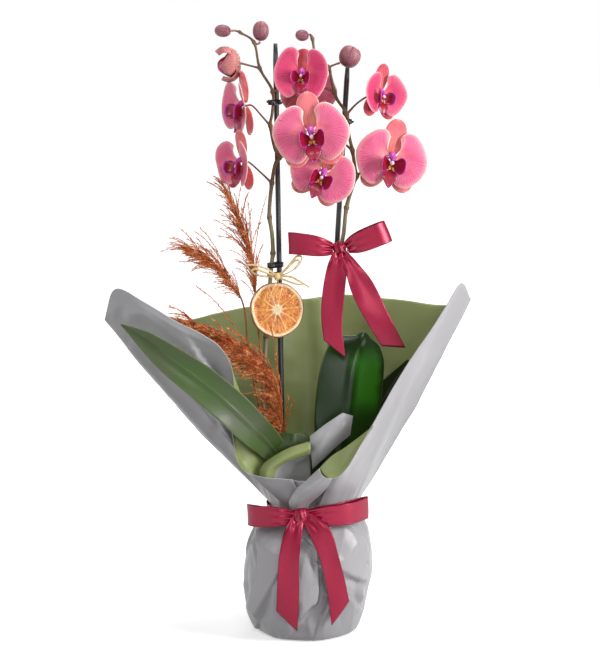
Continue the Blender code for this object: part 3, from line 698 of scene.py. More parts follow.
def spike(name, line, stalks, bare_nodes):
    """One stem with its stalks; each node is swollen and half sheathed by a small bract."""
    stem = Shape()
    fine = through(line, 8)
    nodes = [stalk[0] for stalk in stalks] + route(*bare_nodes)
    radii = []
    for i, point in enumerate(fine):
        swelling = sum(exp(-((point - node).length / (3.2 * MM)) ** 2) for node in nodes)
        radii.append((spread(SPIKE_RADII, i / (len(fine) - 1)) + 0.9 * min(1, swelling)) * MM)
    stem.tube(fine, radii, 0, 12)
    for stalk in stalks:
        stem.tube(through(stalk, 7), [radius * MM for radius in STALK_RADII], 1, 10)
    for node in nodes:
        nearest = min(range(1, len(fine) - 1), key=lambda i: (fine[i] - node).length)
        up = (fine[nearest + 1] - fine[nearest - 1]).normalized()
        sheath = [node + up * lift * MM for lift in (-1.5, -0.6, 0.6, 1.6)]
        radius = radii[nearest]
        stem.tube(sheath, [radius * 0.99, radius * 1.05, radius * 1.09, radius * 1.0], 2, 12)
    stem.made("stem_" + name, [stem_skin, stalk_skin, bract_skin], "spike_green", [name])


spike("spike_left", LEFT_SPIKE, [
    route((-29.5, -1, 553), (-12, -3, 556), (6, -12, 547)) + flower_back("flower_low"),
    route((-38.2, -0.5, 626), (-28, -1, 630), (-12, 3, 630)) + flower_back("flower_behind"),
    route((-40.5, -1, 588), (-50, -2, 599)) + flower_back("flower_left_upper"),
    route((-39, -1, 523), (-50, -4, 534)) + flower_back("flower_left_lower"),
    route((-52.5, 0, 653), (-64, 0, 656), (-75.2, 0, 659)),
    route((-75, 0, 693.6), (-80, 0, 695), (-84.4, 0, 694.9)),
    route((-59, 0, 682), (-55, 0, 680), (-51.5, 0, 682.4)),
], [(-41.8, -1, 484), (-38, -1, 443), (-46, 0, 346), (-47, 0.6, 215)])
spike("spike_right", RIGHT_SPIKE, [
    route((52.5, -1, 560), (38, -12, 573), (20, -26, 582)) + flower_back("flower_front"),
    route((31.5, -2, 626), (20, -3, 632), (6, -6, 644)) + flower_back("flower_top"),
    route((46, -1, 601), (56, 0, 612), (67, 0, 620)) + flower_back("flower_upper_right"),
    route((57.5, -1, 531), (68, -3, 541), (82, -8, 550)) + flower_back("flower_right"),
    route((25, -2, 654), (32, -3, 657), (37.4, -5.4, 659.0)),
], [(7, -2, 686), (10.5, -2, 670), (46, -1, 495), (19, -2, 260)])


# ---------------------------------------------------------------------------------------------
# The clips. Each holds a stem to its stake: a small moulded collar of dark glossy plastic with a
# finger tab on either side.

clip_plastic = Finish("clip_dark_plastic", Base_Color=tint(28, 24, 26), Roughness=0.22)
CLIP_INNER, CLIP_OUTER, CLIP_HIGH = 3.6 * MM, 5.2 * MM, 6 * MM


def point_at_height(line, height):
    """Where a rising line passes a height."""
    for low, high in zip(line, line[1:]):
        if low.z <= height <= high.z:
            return low.lerp(high, (height - low.z) / (high.z - low.z))


def collar_rows(one, other, profile, sides=10):
    """Rings of a collar round two upright rods, from (radius, lift) pairs."""
    middle = (one + other) / 2
    along = Vector((other.x - one.x, other.y - one.y, 0))
    reach = along.length / 2
    along.normalize()
    across = Vector((-along.y, along.x, 0))
    outline = []
    for end in (1, -1):
        for k in range(sides + 1):
            a = pi * k / sides - pi / 2
            outline.append((end * reach * along, end * (cos(a) * along + sin(a) * across)))
    return [[middle + shift + radius * out + Vector((0, 0, lift)) for shift, out in outline]
            for radius, lift in profile]


for name, line, stake, height in (
        ("clip_left_upper", LEFT_SPIKE, "stake_left", 0.6145),
        ("clip_left_lower", LEFT_SPIKE, "stake_left", 0.4290),
        ("clip_right", RIGHT_SPIKE, "stake_right", 0.5930)):
    clip = Shape()
    stem, rod = point_at_height(line, height), point_at_height(STAKES[stake], height)
    soft = 0.5 * MM
    half = CLIP_HIGH / 2
    clip.net(collar_rows(stem, rod, [
        (CLIP_INNER, -half), (CLIP_OUTER - soft, -half), (CLIP_OUTER, soft - half),
        (CLIP_OUTER, half - soft), (CLIP_OUTER - soft, half), (CLIP_INNER, half),
        (CLIP_INNER, -half)]), ring=True)
    middle = (stem + rod) / 2
    for side in (-1, 1):
        root = middle + Vector((side * 4.4, -2.0, 0)) * MM
        tip = middle + Vector((side * 8.6, -3.4, -0.6 * side)) * MM
        clip.tube(through([root, root.lerp(tip, 0.6), tip], 3), [1.5 * MM, 1.3 * MM, 2.0 * MM], 0,
                  8, 0.6)
    clip.made("moulded_" + name, [clip_plastic], "clip_plum", [name])


# ---------------------------------------------------------------------------------------------
# The open flowers. Each has three sepals behind two broad petals, and a lip in front: two side
# lobes that stand up round the column, a spotted callus and a pointed middle lobe.

PETAL_REACH, PETAL_SPREAD = 39.5, radians(84)
TOP_SEPAL, SIDE_SEPAL, SEPAL_HALF = 43.0, 41.0, 18.4
PLAIN_RADIUS = 44
PERIANTH_WALL = 0.55 * MM


def petal_skin(name, body, deep, claw, rim, vein, sepal=False):
    """The skin of a petal or sepal: a soft body, dark veins that fork, and a pale rim.

    Its colours run from the claw to the body, with deeper clouds over it.
    """
    skin = Finish(name, Roughness=0.42, Subsurface_Weight=0.18, Subsurface_Scale=0.002,
                  Sheen_Weight=0.12, Specular_IOR_Level=0.35)
    across, along = skin.across_and_along()
    drift = (skin.grain(90, 2) - 0.5) * 0.16
    lines = 5.0 if sepal else 9.0
    first = ((across + drift) * (lines * pi)).sine().size()
    second = ((across + drift) * (2 * lines * pi)).sine().size()
    outer = along.step(0.30, 0.62)
    coarse = (1 - first.step(0.0, 0.34)) * along.step(0.06, 0.3)
    fine = (1 - second.step(0.0, 0.40)) * outer
    fade = 1 - along.step(0.86, 1.0)
    veins = coarse.most(fine) * fade * (skin.grain(60, 3) * 0.9 + 0.35)
    margin = along.most(across.size() * along.step(0.02, 0.4))
    mottle = skin.grain(75, 4)
    colour = along.step(0.02, 0.55).mix(claw, body)
    colour = (mottle.step(0.42, 0.72) * 0.55).mix(colour, deep)
    colour = (veins * 1.05).mix(colour, vein)
    colour = (margin.step(0.82, 0.98) * 0.28).mix(colour, rim)
    colour = margin.step(0.958, 0.988).mix(colour, rim)
    skin.surface(Base_Color=colour)
    skin.relief(1 - veins, 0.0006, 0.5)
    return skin


PALE_RIM = tint(253, 216, 200)
open_petal = petal_skin("petal_open_pink", tint(232, 108, 148), tint(216, 74, 124),
                        tint(250, 164, 154), PALE_RIM, tint(176, 30, 84))
open_sepal = petal_skin("sepal_open_salmon", tint(236, 122, 128), tint(220, 86, 104),
                        tint(246, 150, 128), tint(252, 204, 186), tint(188, 48, 78), sepal=True)
# Darker copies of the petal and sepal finishes: painted shade for the flowers that stand in shadow.
shaded_petal = petal_skin("petal_shaded_magenta", tint(214, 58, 110), tint(192, 38, 92),
                         tint(238, 108, 116), tint(246, 168, 176), tint(150, 14, 62))
shaded_sepal = petal_skin("sepal_shaded_red", tint(206, 76, 92), tint(176, 50, 74),
                         tint(226, 104, 96), tint(228, 130, 140), tint(150, 34, 58), sepal=True)
petal_back = petal_skin("petal_back_pale", tint(224, 128, 156), tint(208, 96, 132),
                        tint(220, 150, 150), PALE_RIM, tint(200, 84, 118))
sepal_back = petal_skin("sepal_back_red", tint(206, 98, 112), tint(184, 76, 96),
                        tint(200, 120, 110), tint(236, 160, 160), tint(158, 52, 74), sepal=True)

lip_skin = Finish("lip_crimson", Roughness=0.32, Coat_Weight=0.12, Subsurface_Weight=0.1,
                  Subsurface_Scale=0.002)
lip_across, lip_along = lip_skin.across_and_along()
lip_edge = lip_along.most(lip_across.size() * 0.97).step(0.80, 1.0)
lip_veins = (lip_across * 20).sine().size().step(0.0, 0.5)
lip_body = lip_veins.mix(tint(104, 0, 26), tint(158, 4, 48))
lip_skin.surface(Base_Color=(lip_edge * 0.95).mix(lip_body, tint(184, 46, 164)))
column_skin = Finish("column_violet", Roughness=0.34, Subsurface_Weight=0.15,
                     Subsurface_Scale=0.002)
column_skin.surface(Base_Color=column_skin.across_and_along()[1].step(0.1, 0.9)
                    .mix(tint(196, 84, 172), tint(166, 44, 156)))
cap_skin = Finish("anther_cap_white", Base_Color=tint(240, 214, 228), Roughness=0.25)
callus_skin = Finish("callus_spotted_yellow", Roughness=0.35)
callus_skin.surface(Base_Color=callus_skin.grain(700, 2).step(0.48, 0.56)
                    .mix(tint(240, 196, 92), tint(168, 52, 24)))


def petal_rows(side, flutter, tall):
    """One broad petal as a fan from its claw; side is 1 for the right petal and -1 for the left."""
    rows = []
    count_along, count_across = 22, 34
    for i in range(count_along + 1):
        t = 0.03 + 0.97 * i / count_along
        row = []
        for k in range(count_across + 1):
            s = (2 * k / count_across - 1) * -side
            turn = PETAL_SPREAD * s * (0.50 + 0.50 * t ** 0.6)
            reach = PETAL_REACH * t * (1 - 0.12 * max(0, sin(turn))) * (1 - 0.35 * abs(s) ** 8)
            reach *= 1 + 0.018 * sin(7 * s + flutter) * t
            x, y = 3.5 + reach * cos(turn), 1.5 + reach * sin(turn) * tall
            swell = 4.6 * sin(pi * min(1, t * 0.78)) - 2.2 * t ** 4
            wave = 1.1 * sin(2.6 * s + flutter) * t * t + 0.5 * sin(6.5 * s + 2 * flutter) * t ** 3
            lean = 0.05 * reach * sin(turn + 0.5 * flutter)
            row.append(Vector((side * x, y, 1.0 + swell + wave + lean)))
        rows.append(row)
    return rows


def sepal_rows(direction, flutter, long, back):
    """One oval sepal that leans out from the flower's centre in a direction, in degrees."""
    a = radians(direction)
    along, across = Vector((cos(a), sin(a), 0)), Vector((sin(a), -cos(a), 0))
    rows = []
    count_along, count_across = 20, 16
    for i in range(count_along + 1):
        t = 0.03 + 0.967 * (1 - (1 - i / count_along) ** 1.35)
        width = SEPAL_HALF * t ** 0.45 * (1 - t ** 3.2) ** 0.55
        row = []
        for k in range(count_across + 1):
            s = 2 * k / count_across - 1
            depth = -1.0 - back * t * t - 1.6 * s * s + 0.9 * exp(-(s / 0.16) ** 2) * (1 - t)
            depth += 0.7 * sin(3.1 * s + flutter) * t
            row.append(along * (3 + long * t) + across * width * s + Vector((0, 0, depth)))
        rows.append(row)
    return rows


def side_lobe_rows(side):
    """A side lobe of the lip, which rises from beside the callus and spreads like a wing."""
    rows = []
    for i in range(13):
        t = i / 12
        row = []
        for k in range(15):
            s = (2 * k / 14 - 1) * -side
            reach = 21.0 * t * (1 - 0.50 * abs(s) ** 2.8)
            lift = radians(14 + 40 * t)
            row.append(Vector((side * (1.6 + reach * cos(lift)),
                               -8.0 + 4.5 * s + reach * (0.10 + 0.46 * s),
                               4.5 - 1.2 * s + reach * sin(lift))))
        rows.append(row)
    return rows


def middle_lobe_rows():
    """The lip's middle lobe: a narrow waist, two shoulders, and a tip that turns forward."""
    spine = through([Vector(p) for p in ((0, -11, 5.5), (0, -16.5, 9.5), (0, -23, 11.5),
                                         (0, -29.5, 11), (0, -33.5, 13.5))], 4)
    halves = [3.6, 4.6, 7.2, 9.6, 8.6, 6.4, 4.2, 2.6, 0.9]
    rows = []
    for i, centre in enumerate(spine):
        width = spread(halves, i / (len(spine) - 1))
        row = [centre + Vector((width * s, 0, 2.4 * abs(s) * (i / 16) - 1.4 * s * s))
               for s in (1 - 2 * k / 12 for k in range(13))]
        rows.append(row)
    return rows


def facing_frame(facing, roll):
    """The right and up directions of a flower that faces a way and is rolled clockwise."""
    ahead = Vector(facing).normalized()
    up = (Vector((0, 0, 1)) - ahead * ahead.z).normalized()
    right = up.cross(ahead)
    a = radians(roll)
    return ahead, right * cos(a) - up * sin(a), up * cos(a) + right * sin(a)


def flower(name, centre, facing, roll, radius, cup, tall, painted_light, flutter):
    """A whole flower: its sepals and petals as one piece, and its lip and column as two more.

    `cup` bends the petals and sepals forward at their tips, `tall` stretches the petals, and
    `flutter` shifts their waves, so that no two flowers are alike.
    """
    ahead, right, up = facing_frame(facing, roll)
    size = radius / PLAIN_RADIUS
    middle = Vector(centre) * MM

    def placed(rows):
        return [[middle + size * MM * (p.x * right + p.y * up + p.z * ahead) for p in row]
                for row in rows]

    def cupped(rows, bend):
        return [[Vector((p.x * (1 - 0.006 * bend), p.y * (1 - 0.004 * bend),
                         p.z + bend * (hypot(p.x, p.y) / 40) ** 2)) for p in row] for row in rows]

    perianth = Shape()
    top = TOP_SEPAL if tall == 1 else 0.80 * TOP_SEPAL
    for direction, back, long in ((90, 2.0, top), (-127, 4.0, SIDE_SEPAL), (-53, 4.0, SIDE_SEPAL)):
        rows = sepal_rows(direction, flutter + direction, long, back)
        perianth.net(placed(cupped(rows, 0.5 * cup)), 1)
    for side in (-1, 1):
        perianth.net(placed(cupped(petal_rows(side, flutter + side, tall), cup)), 0)
    # Flowers in shadow take the darker copies of the finishes: painted shade.
    front = [shaded_petal, shaded_sepal] if painted_light else [open_petal, open_sepal]
    perianth.made(name + "_perianth", front + [petal_back, sepal_back], "petal_pink", [name],
                  wall=PERIANTH_WALL, back=2)

    lip = Shape()
    for side in (-1, 1):
        lip.net(placed(side_lobe_rows(side)), 0)
    lip.net([row[::-1] for row in placed(middle_lobe_rows())], 0)
    lip.made(name + "_lip_lobes", [lip_skin], "lip_magenta", [name + "_lip"], wall=0.7 * MM)
    column = Shape()
    spine = through([Vector(p) for p in ((0, 4.2, 0.5), (0, 2.6, 4.5), (0, -0.4, 7.6),
                                         (0, -3.0, 9.0))], 4)
    column.tube(placed([spine])[0], [r * size * MM for r in (4.4, 4.1, 3.6, 3.1, 2.5)], 0, 14)
    axis = -0.7 * up + 0.5 * ahead
    column.egg(placed([[Vector((0, -4.6, 9.8))]])[0][0], axis, 3.0 * size * MM, 2.3 * size * MM, 1)
    for side in (-1, 1):
        spot = placed([[Vector((side * 1.9, -11.0, 7.6))]])[0][0]
        column.egg(spot, ahead - 0.6 * up, 3.4 * size * MM, 1.9 * size * MM, 2, 10, 6)
        spot = placed([[Vector((side * 3.4, -13.2, 8.2))]])[0][0]
        column.egg(spot, right * side - 0.4 * up, 1.7 * size * MM, 0.8 * size * MM, 1, 8, 5)
    column.made(name + "_column", [column_skin, cap_skin, callus_skin], "lip_magenta")


for number, (name, values) in enumerate(FLOWERS.items()):
    flower(name, *values, 1.3 + 1.7 * number)


# ---------------------------------------------------------------------------------------------
# The buds and the flower that is half open. Their five scales, which will be sepals and petals,
# overlap round a core; the scales of the opening ones part at the tip and show deep magenta.

bud_skin = Finish("bud_mauve_skin", Roughness=0.42, Subsurface_Weight=0.12,
                  Subsurface_Scale=0.002)
bud_across, bud_along = bud_skin.across_and_along()
bud_vein = 1 - (bud_across * 16).sine().size().step(0.0, 0.5)
bud_body = bud_along.step(0.1, 0.9).mix(tint(122, 60, 76), tint(168, 108, 114))
bud_body = (bud_across.size().step(0.50, 0.95) * 0.9).mix(bud_body, tint(92, 26, 48))
bud_skin.surface(Base_Color=(bud_vein * 0.8).mix(bud_body, tint(92, 28, 52)))
bud_skin.relief(bud_vein, 0.0004, 0.4)
bud_inside = Finish("bud_inside_magenta", Base_Color=tint(134, 22, 62), Roughness=0.4)

BUDS = {
    # Centre, the way it points, half length, half width, and how far its tip gapes.
    "bud_left_tip": ((-94, 0, 694.8), (-1, 0, 0.08), 9.0, 6.8, 0.0),
    "bud_left_round": ((-51, 0, 694.6), (0.05, 0, 1), 11.0, 9.0, 0.0),
    "bud_right_tip": ((-4.6, -2, 689.8), (-1, 0, 0.1), 7.4, 6.2, 0.0),
    "bud_right_opening": ((49, -8, 666), (0.45, 0, 1), 12.4, 11.6, 0.30),
}


def bud(name, centre, along, half_length, half_width, gape):
    """A bud of five overlapping scales; `gape` parts their tips."""
    axis = Vector(along).normalized()
    side = Vector((0, -1, 0))
    side = (side - axis * side.dot(axis)).normalized()
    other = axis.cross(side)
    middle = Vector(centre) * MM
    scales = Shape()
    for scale in range(5):
        turn = 2 * pi * scale / 5 + 0.5
        layer = 0.89 if scale % 2 else 1.0
        rows = []
        for i in range(15):
            t = 0.02 + 0.965 * i / 14
            a = pi * t ** 0.92
            spanning = radians(52) * (1 - 0.72 * max(0, t - 0.45) ** 1.4 * (1 + gape))
            row = []
            for k in range(13):
                s = 2 * k / 12 - 1
                around = turn + spanning * s
                out = half_width * layer * (sin(a) ** 0.86 + gape * t ** 3 * 0.8)
                out *= 1 + 0.05 * (1 - s * s)
                high = -half_length * cos(a) * (1 - 0.16 * gape * t)
                row.append(middle + MM * (high * axis
                                          + out * (cos(around) * side + sin(around) * other)))
            rows.append(row)
        scales.net(rows, 0)
    scales.made(name + "_scales", [bud_skin, bud_inside], "bud_mauve", [name], wall=0.5 * MM,
                back=1)
    core = Shape()
    core.egg(middle - axis * half_length * 0.06 * MM, axis, half_length * (0.88 - 0.3 * gape) * MM,
             half_width * (0.84 - 0.3 * gape) * MM, 0)
    core.made(name + "_core", [bud_inside], "bud_mauve")


for name, values in BUDS.items():
    bud(name, *values)

hood_skin = petal_skin("hood_salmon", tint(206, 128, 126), tint(188, 106, 108),
                       tint(196, 132, 116), tint(226, 150, 150), tint(166, 78, 88), sepal=True)
HALF_OPEN_SCALES = [
    # A scale's midline, its half widths, the direction across it, and how far its edges sag inward.
    (((-74, 0, 657), (-76, 0, 668), (-84, -1, 675.5), (-95, -2, 677), (-103, -3, 672)),
     (5, 12, 14, 11, 2.0), (0, 1, 0), 7.0),
    (((-74, 0, 657), (-75, 0, 646), (-81, -1, 639), (-89, -2, 637.5), (-96, -3, 640)),
     (5, 11, 12, 9, 2.0), (0, -1, 0), 5.0),
    (((-74, -2, 658), (-78, -11, 660), (-84, -14.5, 661), (-91, -14, 659), (-98, -10, 655)),
     (6, 13, 15, 11, 1.5), (0.15, 0, 1), 4.0),
    (((-74, 2, 658), (-78, 11, 658), (-85, 14, 657), (-93, 13, 654), (-99, 9, 652)),
     (6, 13, 15, 11, 1.5), (0.15, 0, -1), 4.0),
]
heart = Vector((-86, 0, 656)) * MM
half_open = Shape()
for spine, halves, across, sag in HALF_OPEN_SCALES:
    line = through(route(*spine), 4)
    rows = []
    for i, centre in enumerate(line):
        inward = (heart - centre).normalized()
        half = spread(halves, i / (len(line) - 1)) * MM
        rows.append([centre + Vector(across).normalized() * half * s + inward * sag * MM * s * s
                     for s in (k / 6 - 1 for k in range(13))])
    half_open.net(rows, 0)
half_open.made("half_open_scales", [hood_skin, bud_inside], "petal_pink", ["flower_half_open"],
               wall=0.6 * MM, back=1)
inner = Shape()
for lift, lean in ((3.5, -0.3), (-4.0, 0.35)):
    inner.egg(Vector((-88, -2, 656 + lift)) * MM, Vector((-1, -0.25, lean)), 13 * MM, 7.5 * MM)
inner.made("half_open_petals", [lip_skin], "petal_pink")


# ---------------------------------------------------------------------------------------------
# The leaves. Thick glossy straps grow from the crown, each folded into a channel along a sunken
# midrib; the underside is paler and duller than the face.

CROWN_SPOT = Vector((0, 0, 124)) * MM
# Where the painted patch of light starts and is whole on its left, right, lower and upper side, in
# metres.
LIT_PATCH_EDGES = (0.044, 0.062), (0.078, 0.088), (0.255, 0.285), (0.318, 0.342)


def leaf_skin(name, face, patch, dark, gloss, glow=None):
    """A leaf's face: long fine streaks, lighter clouds, and a dark line at the midrib.

    `glow` paints a patch of light in bright green, high on the leaf that light shines through.
    """
    skin = Finish(name, Specular_IOR_Level=0.35, Coat_Roughness=0.2, Coat_Weight=0.12)
    across, _ = skin.across_and_along()
    streaks = (across * 60 + skin.grain(18, 3) * 26).sine() * 0.5 + 0.5
    cloud = skin.grain(24, 3)
    base = cloud.step(0.36, 0.70).mix(face, patch)
    if glow:
        x, _, z = skin.axes(skin.point())
        ripple = (cloud - 0.5) * 0.02
        left, right, bottom, top = LIT_PATCH_EDGES
        # Painted light: a bright green patch where light comes through the broad leaf.
        painted_light = (x + ripple).step(*left) * (1 - (x + ripple).step(*right))
        painted_light = painted_light * (z + ripple).step(*bottom) * (1 - (z + ripple).step(*top))
        base = painted_light.mix(base, glow)
    base = (streaks * 0.10).mix(base, dark)
    rib = 1 - across.size().step(0.0, 0.06)
    rim = across.size().step(0.965, 1.0)
    base = (rib * 0.45).mix(base, dark)
    skin.surface(Base_Color=(rim * 0.5).mix(base, tint(120, 126, 76)),
                 Roughness=streaks * 0.06 + gloss)
    skin.relief(streaks * 0.05 + rib * -1.0 + cloud * 0.5, 0.0009, 0.22)
    return skin


sheen_leaf = leaf_skin("leaf_sheen_green", tint(74, 84, 56), tint(60, 88, 30), tint(44, 56, 32),
                       0.42)
# The last colour is painted light: a bright patch high on the broad leaf.
deep_leaf = leaf_skin("leaf_deep_green", tint(18, 44, 5), tint(24, 62, 5), tint(10, 26, 4), 0.30,
                      tint(44, 118, 6))
shade_leaf = leaf_skin("leaf_shade_green", tint(30, 42, 18), tint(36, 50, 20), tint(18, 26, 12),
                       0.34)
under_leaf = leaf_skin("leaf_under_pale", tint(96, 114, 70), tint(88, 112, 58), tint(70, 88, 48),
                       0.5)

LEAVES = {
    # Midrib, half widths, the direction across, the depth of the channel, and the face's finish.
    "leaf_long_left": (
        ((-9.5, -12, 127), (-17, -21, 165), (-27, -34, 202), (-43, -57, 232), (-60, -80, 254),
         (-86, -99, 284), (-118, -103, 312), (-150, -99, 335), (-179, -90, 356), (-206, -80, 372)),
        (7, 10, 13, 16, 18.5, 19.5, 19, 16, 10, 0.8), (0.6, 0.1, 0.8), 4.5, sheen_leaf),
    "leaf_broad_upright": (
        ((8.5, -13, 128), (22, -22, 165), (38, -26, 210), (47, -25, 262), (53, -18, 306),
         (59, -11, 331), (64, -3, 344), (67, 4, 350)),
        (6, 14, 28, 37, 37, 32, 22, 5), (1, 0.1, 0), -6.5, deep_leaf),
    "leaf_small_front": (
        ((-3, -16, 132), (-7, -28, 165), (-11, -41, 198), (-14, -51, 226), (-14, -50, 243)),
        (6, 14, 26, 31, 13), (1, 0, 0), -6, sheen_leaf),
    "leaf_right_back": (
        ((12.5, -3, 127), (33, -4, 170), (66, 3, 230), (96, 6, 280), (118, 8, 318)),
        (4, 14, 19, 18, 2), (0.7, 0.2, -0.7), 5, shade_leaf),
}


def leaf_rows(spine, halves, across, cup):
    """A leaf across its midrib, with a groove along it and a slow wave towards the edges."""
    line = through(route(*spine), 10)
    widths = [w.x for w in through([Vector((half, 0, 0)) for half in halves], 10)]
    rows = []
    for i, centre in enumerate(line):
        along = heading(line, i)
        side = Vector(across)
        side = (side - along * side.dot(along)).normalized()
        out = side.cross(along)
        half = max(0.5, widths[i]) * MM
        share = i / (len(line) - 1)
        end = min(1, half / (12 * MM))
        row = []
        for k in range(25):
            s = k / 12 - 1
            groove = 0.35 * exp(-(s / 0.09) ** 2)
            depth = MM * end * (cup * abs(s) ** 1.5 + abs(cup) * groove)
            depth += 1.2 * MM * sin(7 * share + 2.2 * s) * abs(s) * end
            row.append(centre + side * half * s + out * depth)
        rows.append(row)
    return rows


for name, (spine, halves, across, cup, face) in LEAVES.items():
    blade = Shape()
    blade.net(leaf_rows(spine, halves, across, cup))
    blade.made(name.replace("leaf", "blade"), [face, under_leaf], "leaf_green", [name],
               wall=1.5 * MM, back=1)
crown = Shape()
crown.egg(CROWN_SPOT, Vector((0, 0, 1)), 12.5 * MM, 8.5 * MM, 0)
for turn in turns_of(4):
    lean = Vector((cos(turn + 0.6), sin(turn + 0.6), 0))
    crown.egg(CROWN_SPOT + lean * 5.5 * MM - Vector((0, 0, 3 * MM)), lean * 0.4 + Vector((0, 0, 1)),
              11 * MM, 5 * MM, 0)
crown.made("leaf_crown", [sheen_leaf], "leaf_green", ["crown"])


# ---------------------------------------------------------------------------------------------
# The dried grass. Three plumes of dyed reed stand behind the left leaf; each is a stiff straw
# with drooping side twigs, and every twig is thickly set with small pointed husks.

husk_skin = Finish("husk_rust_dyed", Roughness=0.62, Sheen_Weight=0.15)
husk_tone = husk_skin.grain(140, 3)
husk_skin.surface(Base_Color=husk_skin.ramp(
    husk_tone, (0.30, tint(116, 42, 4)), (0.42, tint(184, 78, 14)), (0.54, tint(222, 112, 36)),
    (0.70, tint(238, 176, 122))))
twig_skin = Finish("twig_rust_straw", Roughness=0.6)
twig_skin.surface(Base_Color=twig_skin.grain(90, 2).mix(tint(120, 52, 14), tint(190, 118, 66)))

PLUMES = {
    # Straw, where the twigs start and stop along it, how many, how long, and their droop.
    "grass_main": (((-21, -11, 116), (-21, -11, 150), (-24, -14, 190), (-26, -20, 233),
                    (-30, -27, 282), (-42, -32, 312), (-66, -34, 332), (-94, -32, 345),
                    (-128, -28, 362)), 0.20, 1.0, 360, 52, (-0.72, -0.05, 0.42)),
    "grass_upper_inner": (((-30, -8, 116), (-33, -9, 180), (-41, -10, 254), (-52, -7, 330),
                           (-57, -5, 380), (-60, -7, 425), (-70, -12, 465), (-86, -12, 508)),
                          0.60, 1.0, 150, 40, (-0.36, 0.0, 0.90)),
    "grass_upper_outer": (((-35, -12, 116), (-39, -14, 180), (-52, -14, 254), (-66, -8, 330),
                           (-71, -6, 380), (-82, -10, 405), (-104, -14, 430), (-128, -14, 444)),
                          0.62, 1.0, 140, 38, (-0.62, 0.0, 0.66)),
}


def husk_mesh():
    """One husk: a thin pointed blade with a fold along it, a few millimetres long."""
    blade = bpy.data.meshes.new("husk")
    corners = [(0, 0, 0), (0.5, 0.16, 1.2), (-0.5, 0.16, 1.2), (0, -0.26, 1.4), (0, 0.05, 4.2)]
    faces = [(0, 2, 1), (0, 1, 3), (0, 3, 2), (1, 2, 4), (3, 1, 4), (2, 3, 4)]
    blade.from_pydata(corners, [], faces)
    blade.transform(Matrix.Scale(MM, 4))
    return blade


def plume_nodes(husk):
    """Twigs as thin tubes, set with husks that point along them and splay a little."""
    tree = bpy.data.node_groups.new("plume", 'GeometryNodeTree')
    face = tree.interface
    face.new_socket("Twigs", in_out='INPUT', socket_type='NodeSocketGeometry')
    sizes = {}
    for label, value in (("Twig Radius", 0.00032), ("Husk Spacing", 0.0010), ("Husk Splay", 0.55),
                         ("Husk Size", 1.0)):
        socket = face.new_socket(label, in_out='INPUT', socket_type='NodeSocketFloat')
        socket.default_value = value
        sizes[label] = socket.identifier
    face.new_socket("Plume", in_out='OUTPUT', socket_type='NodeSocketGeometry')

    def add(kind, inputs=(), **settings):
        """A node with its settings, and its inputs given as values or as other sockets."""
        node = tree.nodes.new(kind)
        for key, value in settings.items():
            setattr(node, key, value)
        for label, value in dict(inputs).items():
            if isinstance(value, bpy.types.NodeSocket):
                tree.links.new(value, node.inputs[label])
            else:
                node.inputs[label].default_value = value
        return node.outputs

    given = add("NodeGroupInput")
    ring = add("GeometryNodeCurvePrimitiveCircle", {
        "Resolution": 5, "Radius": given["Twig Radius"]})
    tubes = add("GeometryNodeCurveToMesh", {
        "Curve": given["Twigs"], "Profile Curve": ring["Curve"], "Fill Caps": True})
    spots = add("GeometryNodeCurveToPoints", {
        "Curve": given["Twigs"], "Length": given["Husk Spacing"]}, mode='LENGTH')
    splay = given["Husk Splay"]
    under = add("ShaderNodeMath", {0: splay, 1: -1.0}, operation='MULTIPLY')[0]
    lows = add("ShaderNodeCombineXYZ", {"X": under, "Y": under})
    highs = add("ShaderNodeCombineXYZ", {"X": splay, "Y": splay, "Z": 2 * pi})
    turn = add("FunctionNodeRandomValue", {
        "Min": lows["Vector"], "Max": highs["Vector"], "Seed": 11}, data_type='FLOAT_VECTOR')
    along = add("FunctionNodeAlignRotationToVector", {"Vector": spots["Tangent"]}, axis='Z')
    splayed = add("FunctionNodeRotateRotation", {
        "Rotation": along["Rotation"], "Rotate By": turn["Value"]}, rotation_space='LOCAL')
    length = add("FunctionNodeRandomValue", {"Min": 0.55, "Max": 1.25, "Seed": 5},
                 data_type='FLOAT')
    grown = add("ShaderNodeMath", {0: length["Value"], 1: given["Husk Size"]},
                operation='MULTIPLY')
    source = add("GeometryNodeObjectInfo", {"Object": husk})
    placed = add("GeometryNodeInstanceOnPoints", {
        "Points": spots["Points"], "Instance": source["Geometry"],
        "Rotation": splayed["Rotation"], "Scale": grown[0]})
    husks = add("GeometryNodeRealizeInstances", {"Geometry": placed["Instances"]})
    gathered = tree.nodes.new("GeometryNodeJoinGeometry")
    for grown_mesh, skin in ((tubes["Mesh"], twig_skin), (husks["Geometry"], husk_skin)):
        painted = add("GeometryNodeSetMaterial", {
            "Geometry": grown_mesh, "Material": skin.material})
        tree.links.new(painted["Geometry"], gathered.inputs["Geometry"])
    add("NodeGroupOutput", {"Plume": gathered.outputs["Geometry"]})
    return tree, sizes


SPRAYS, TWIG_STEPS = 4.4, 5
STRAW_RADII = [radius * MM for radius in (1.2, 1.1, 0.9, 0.4)]


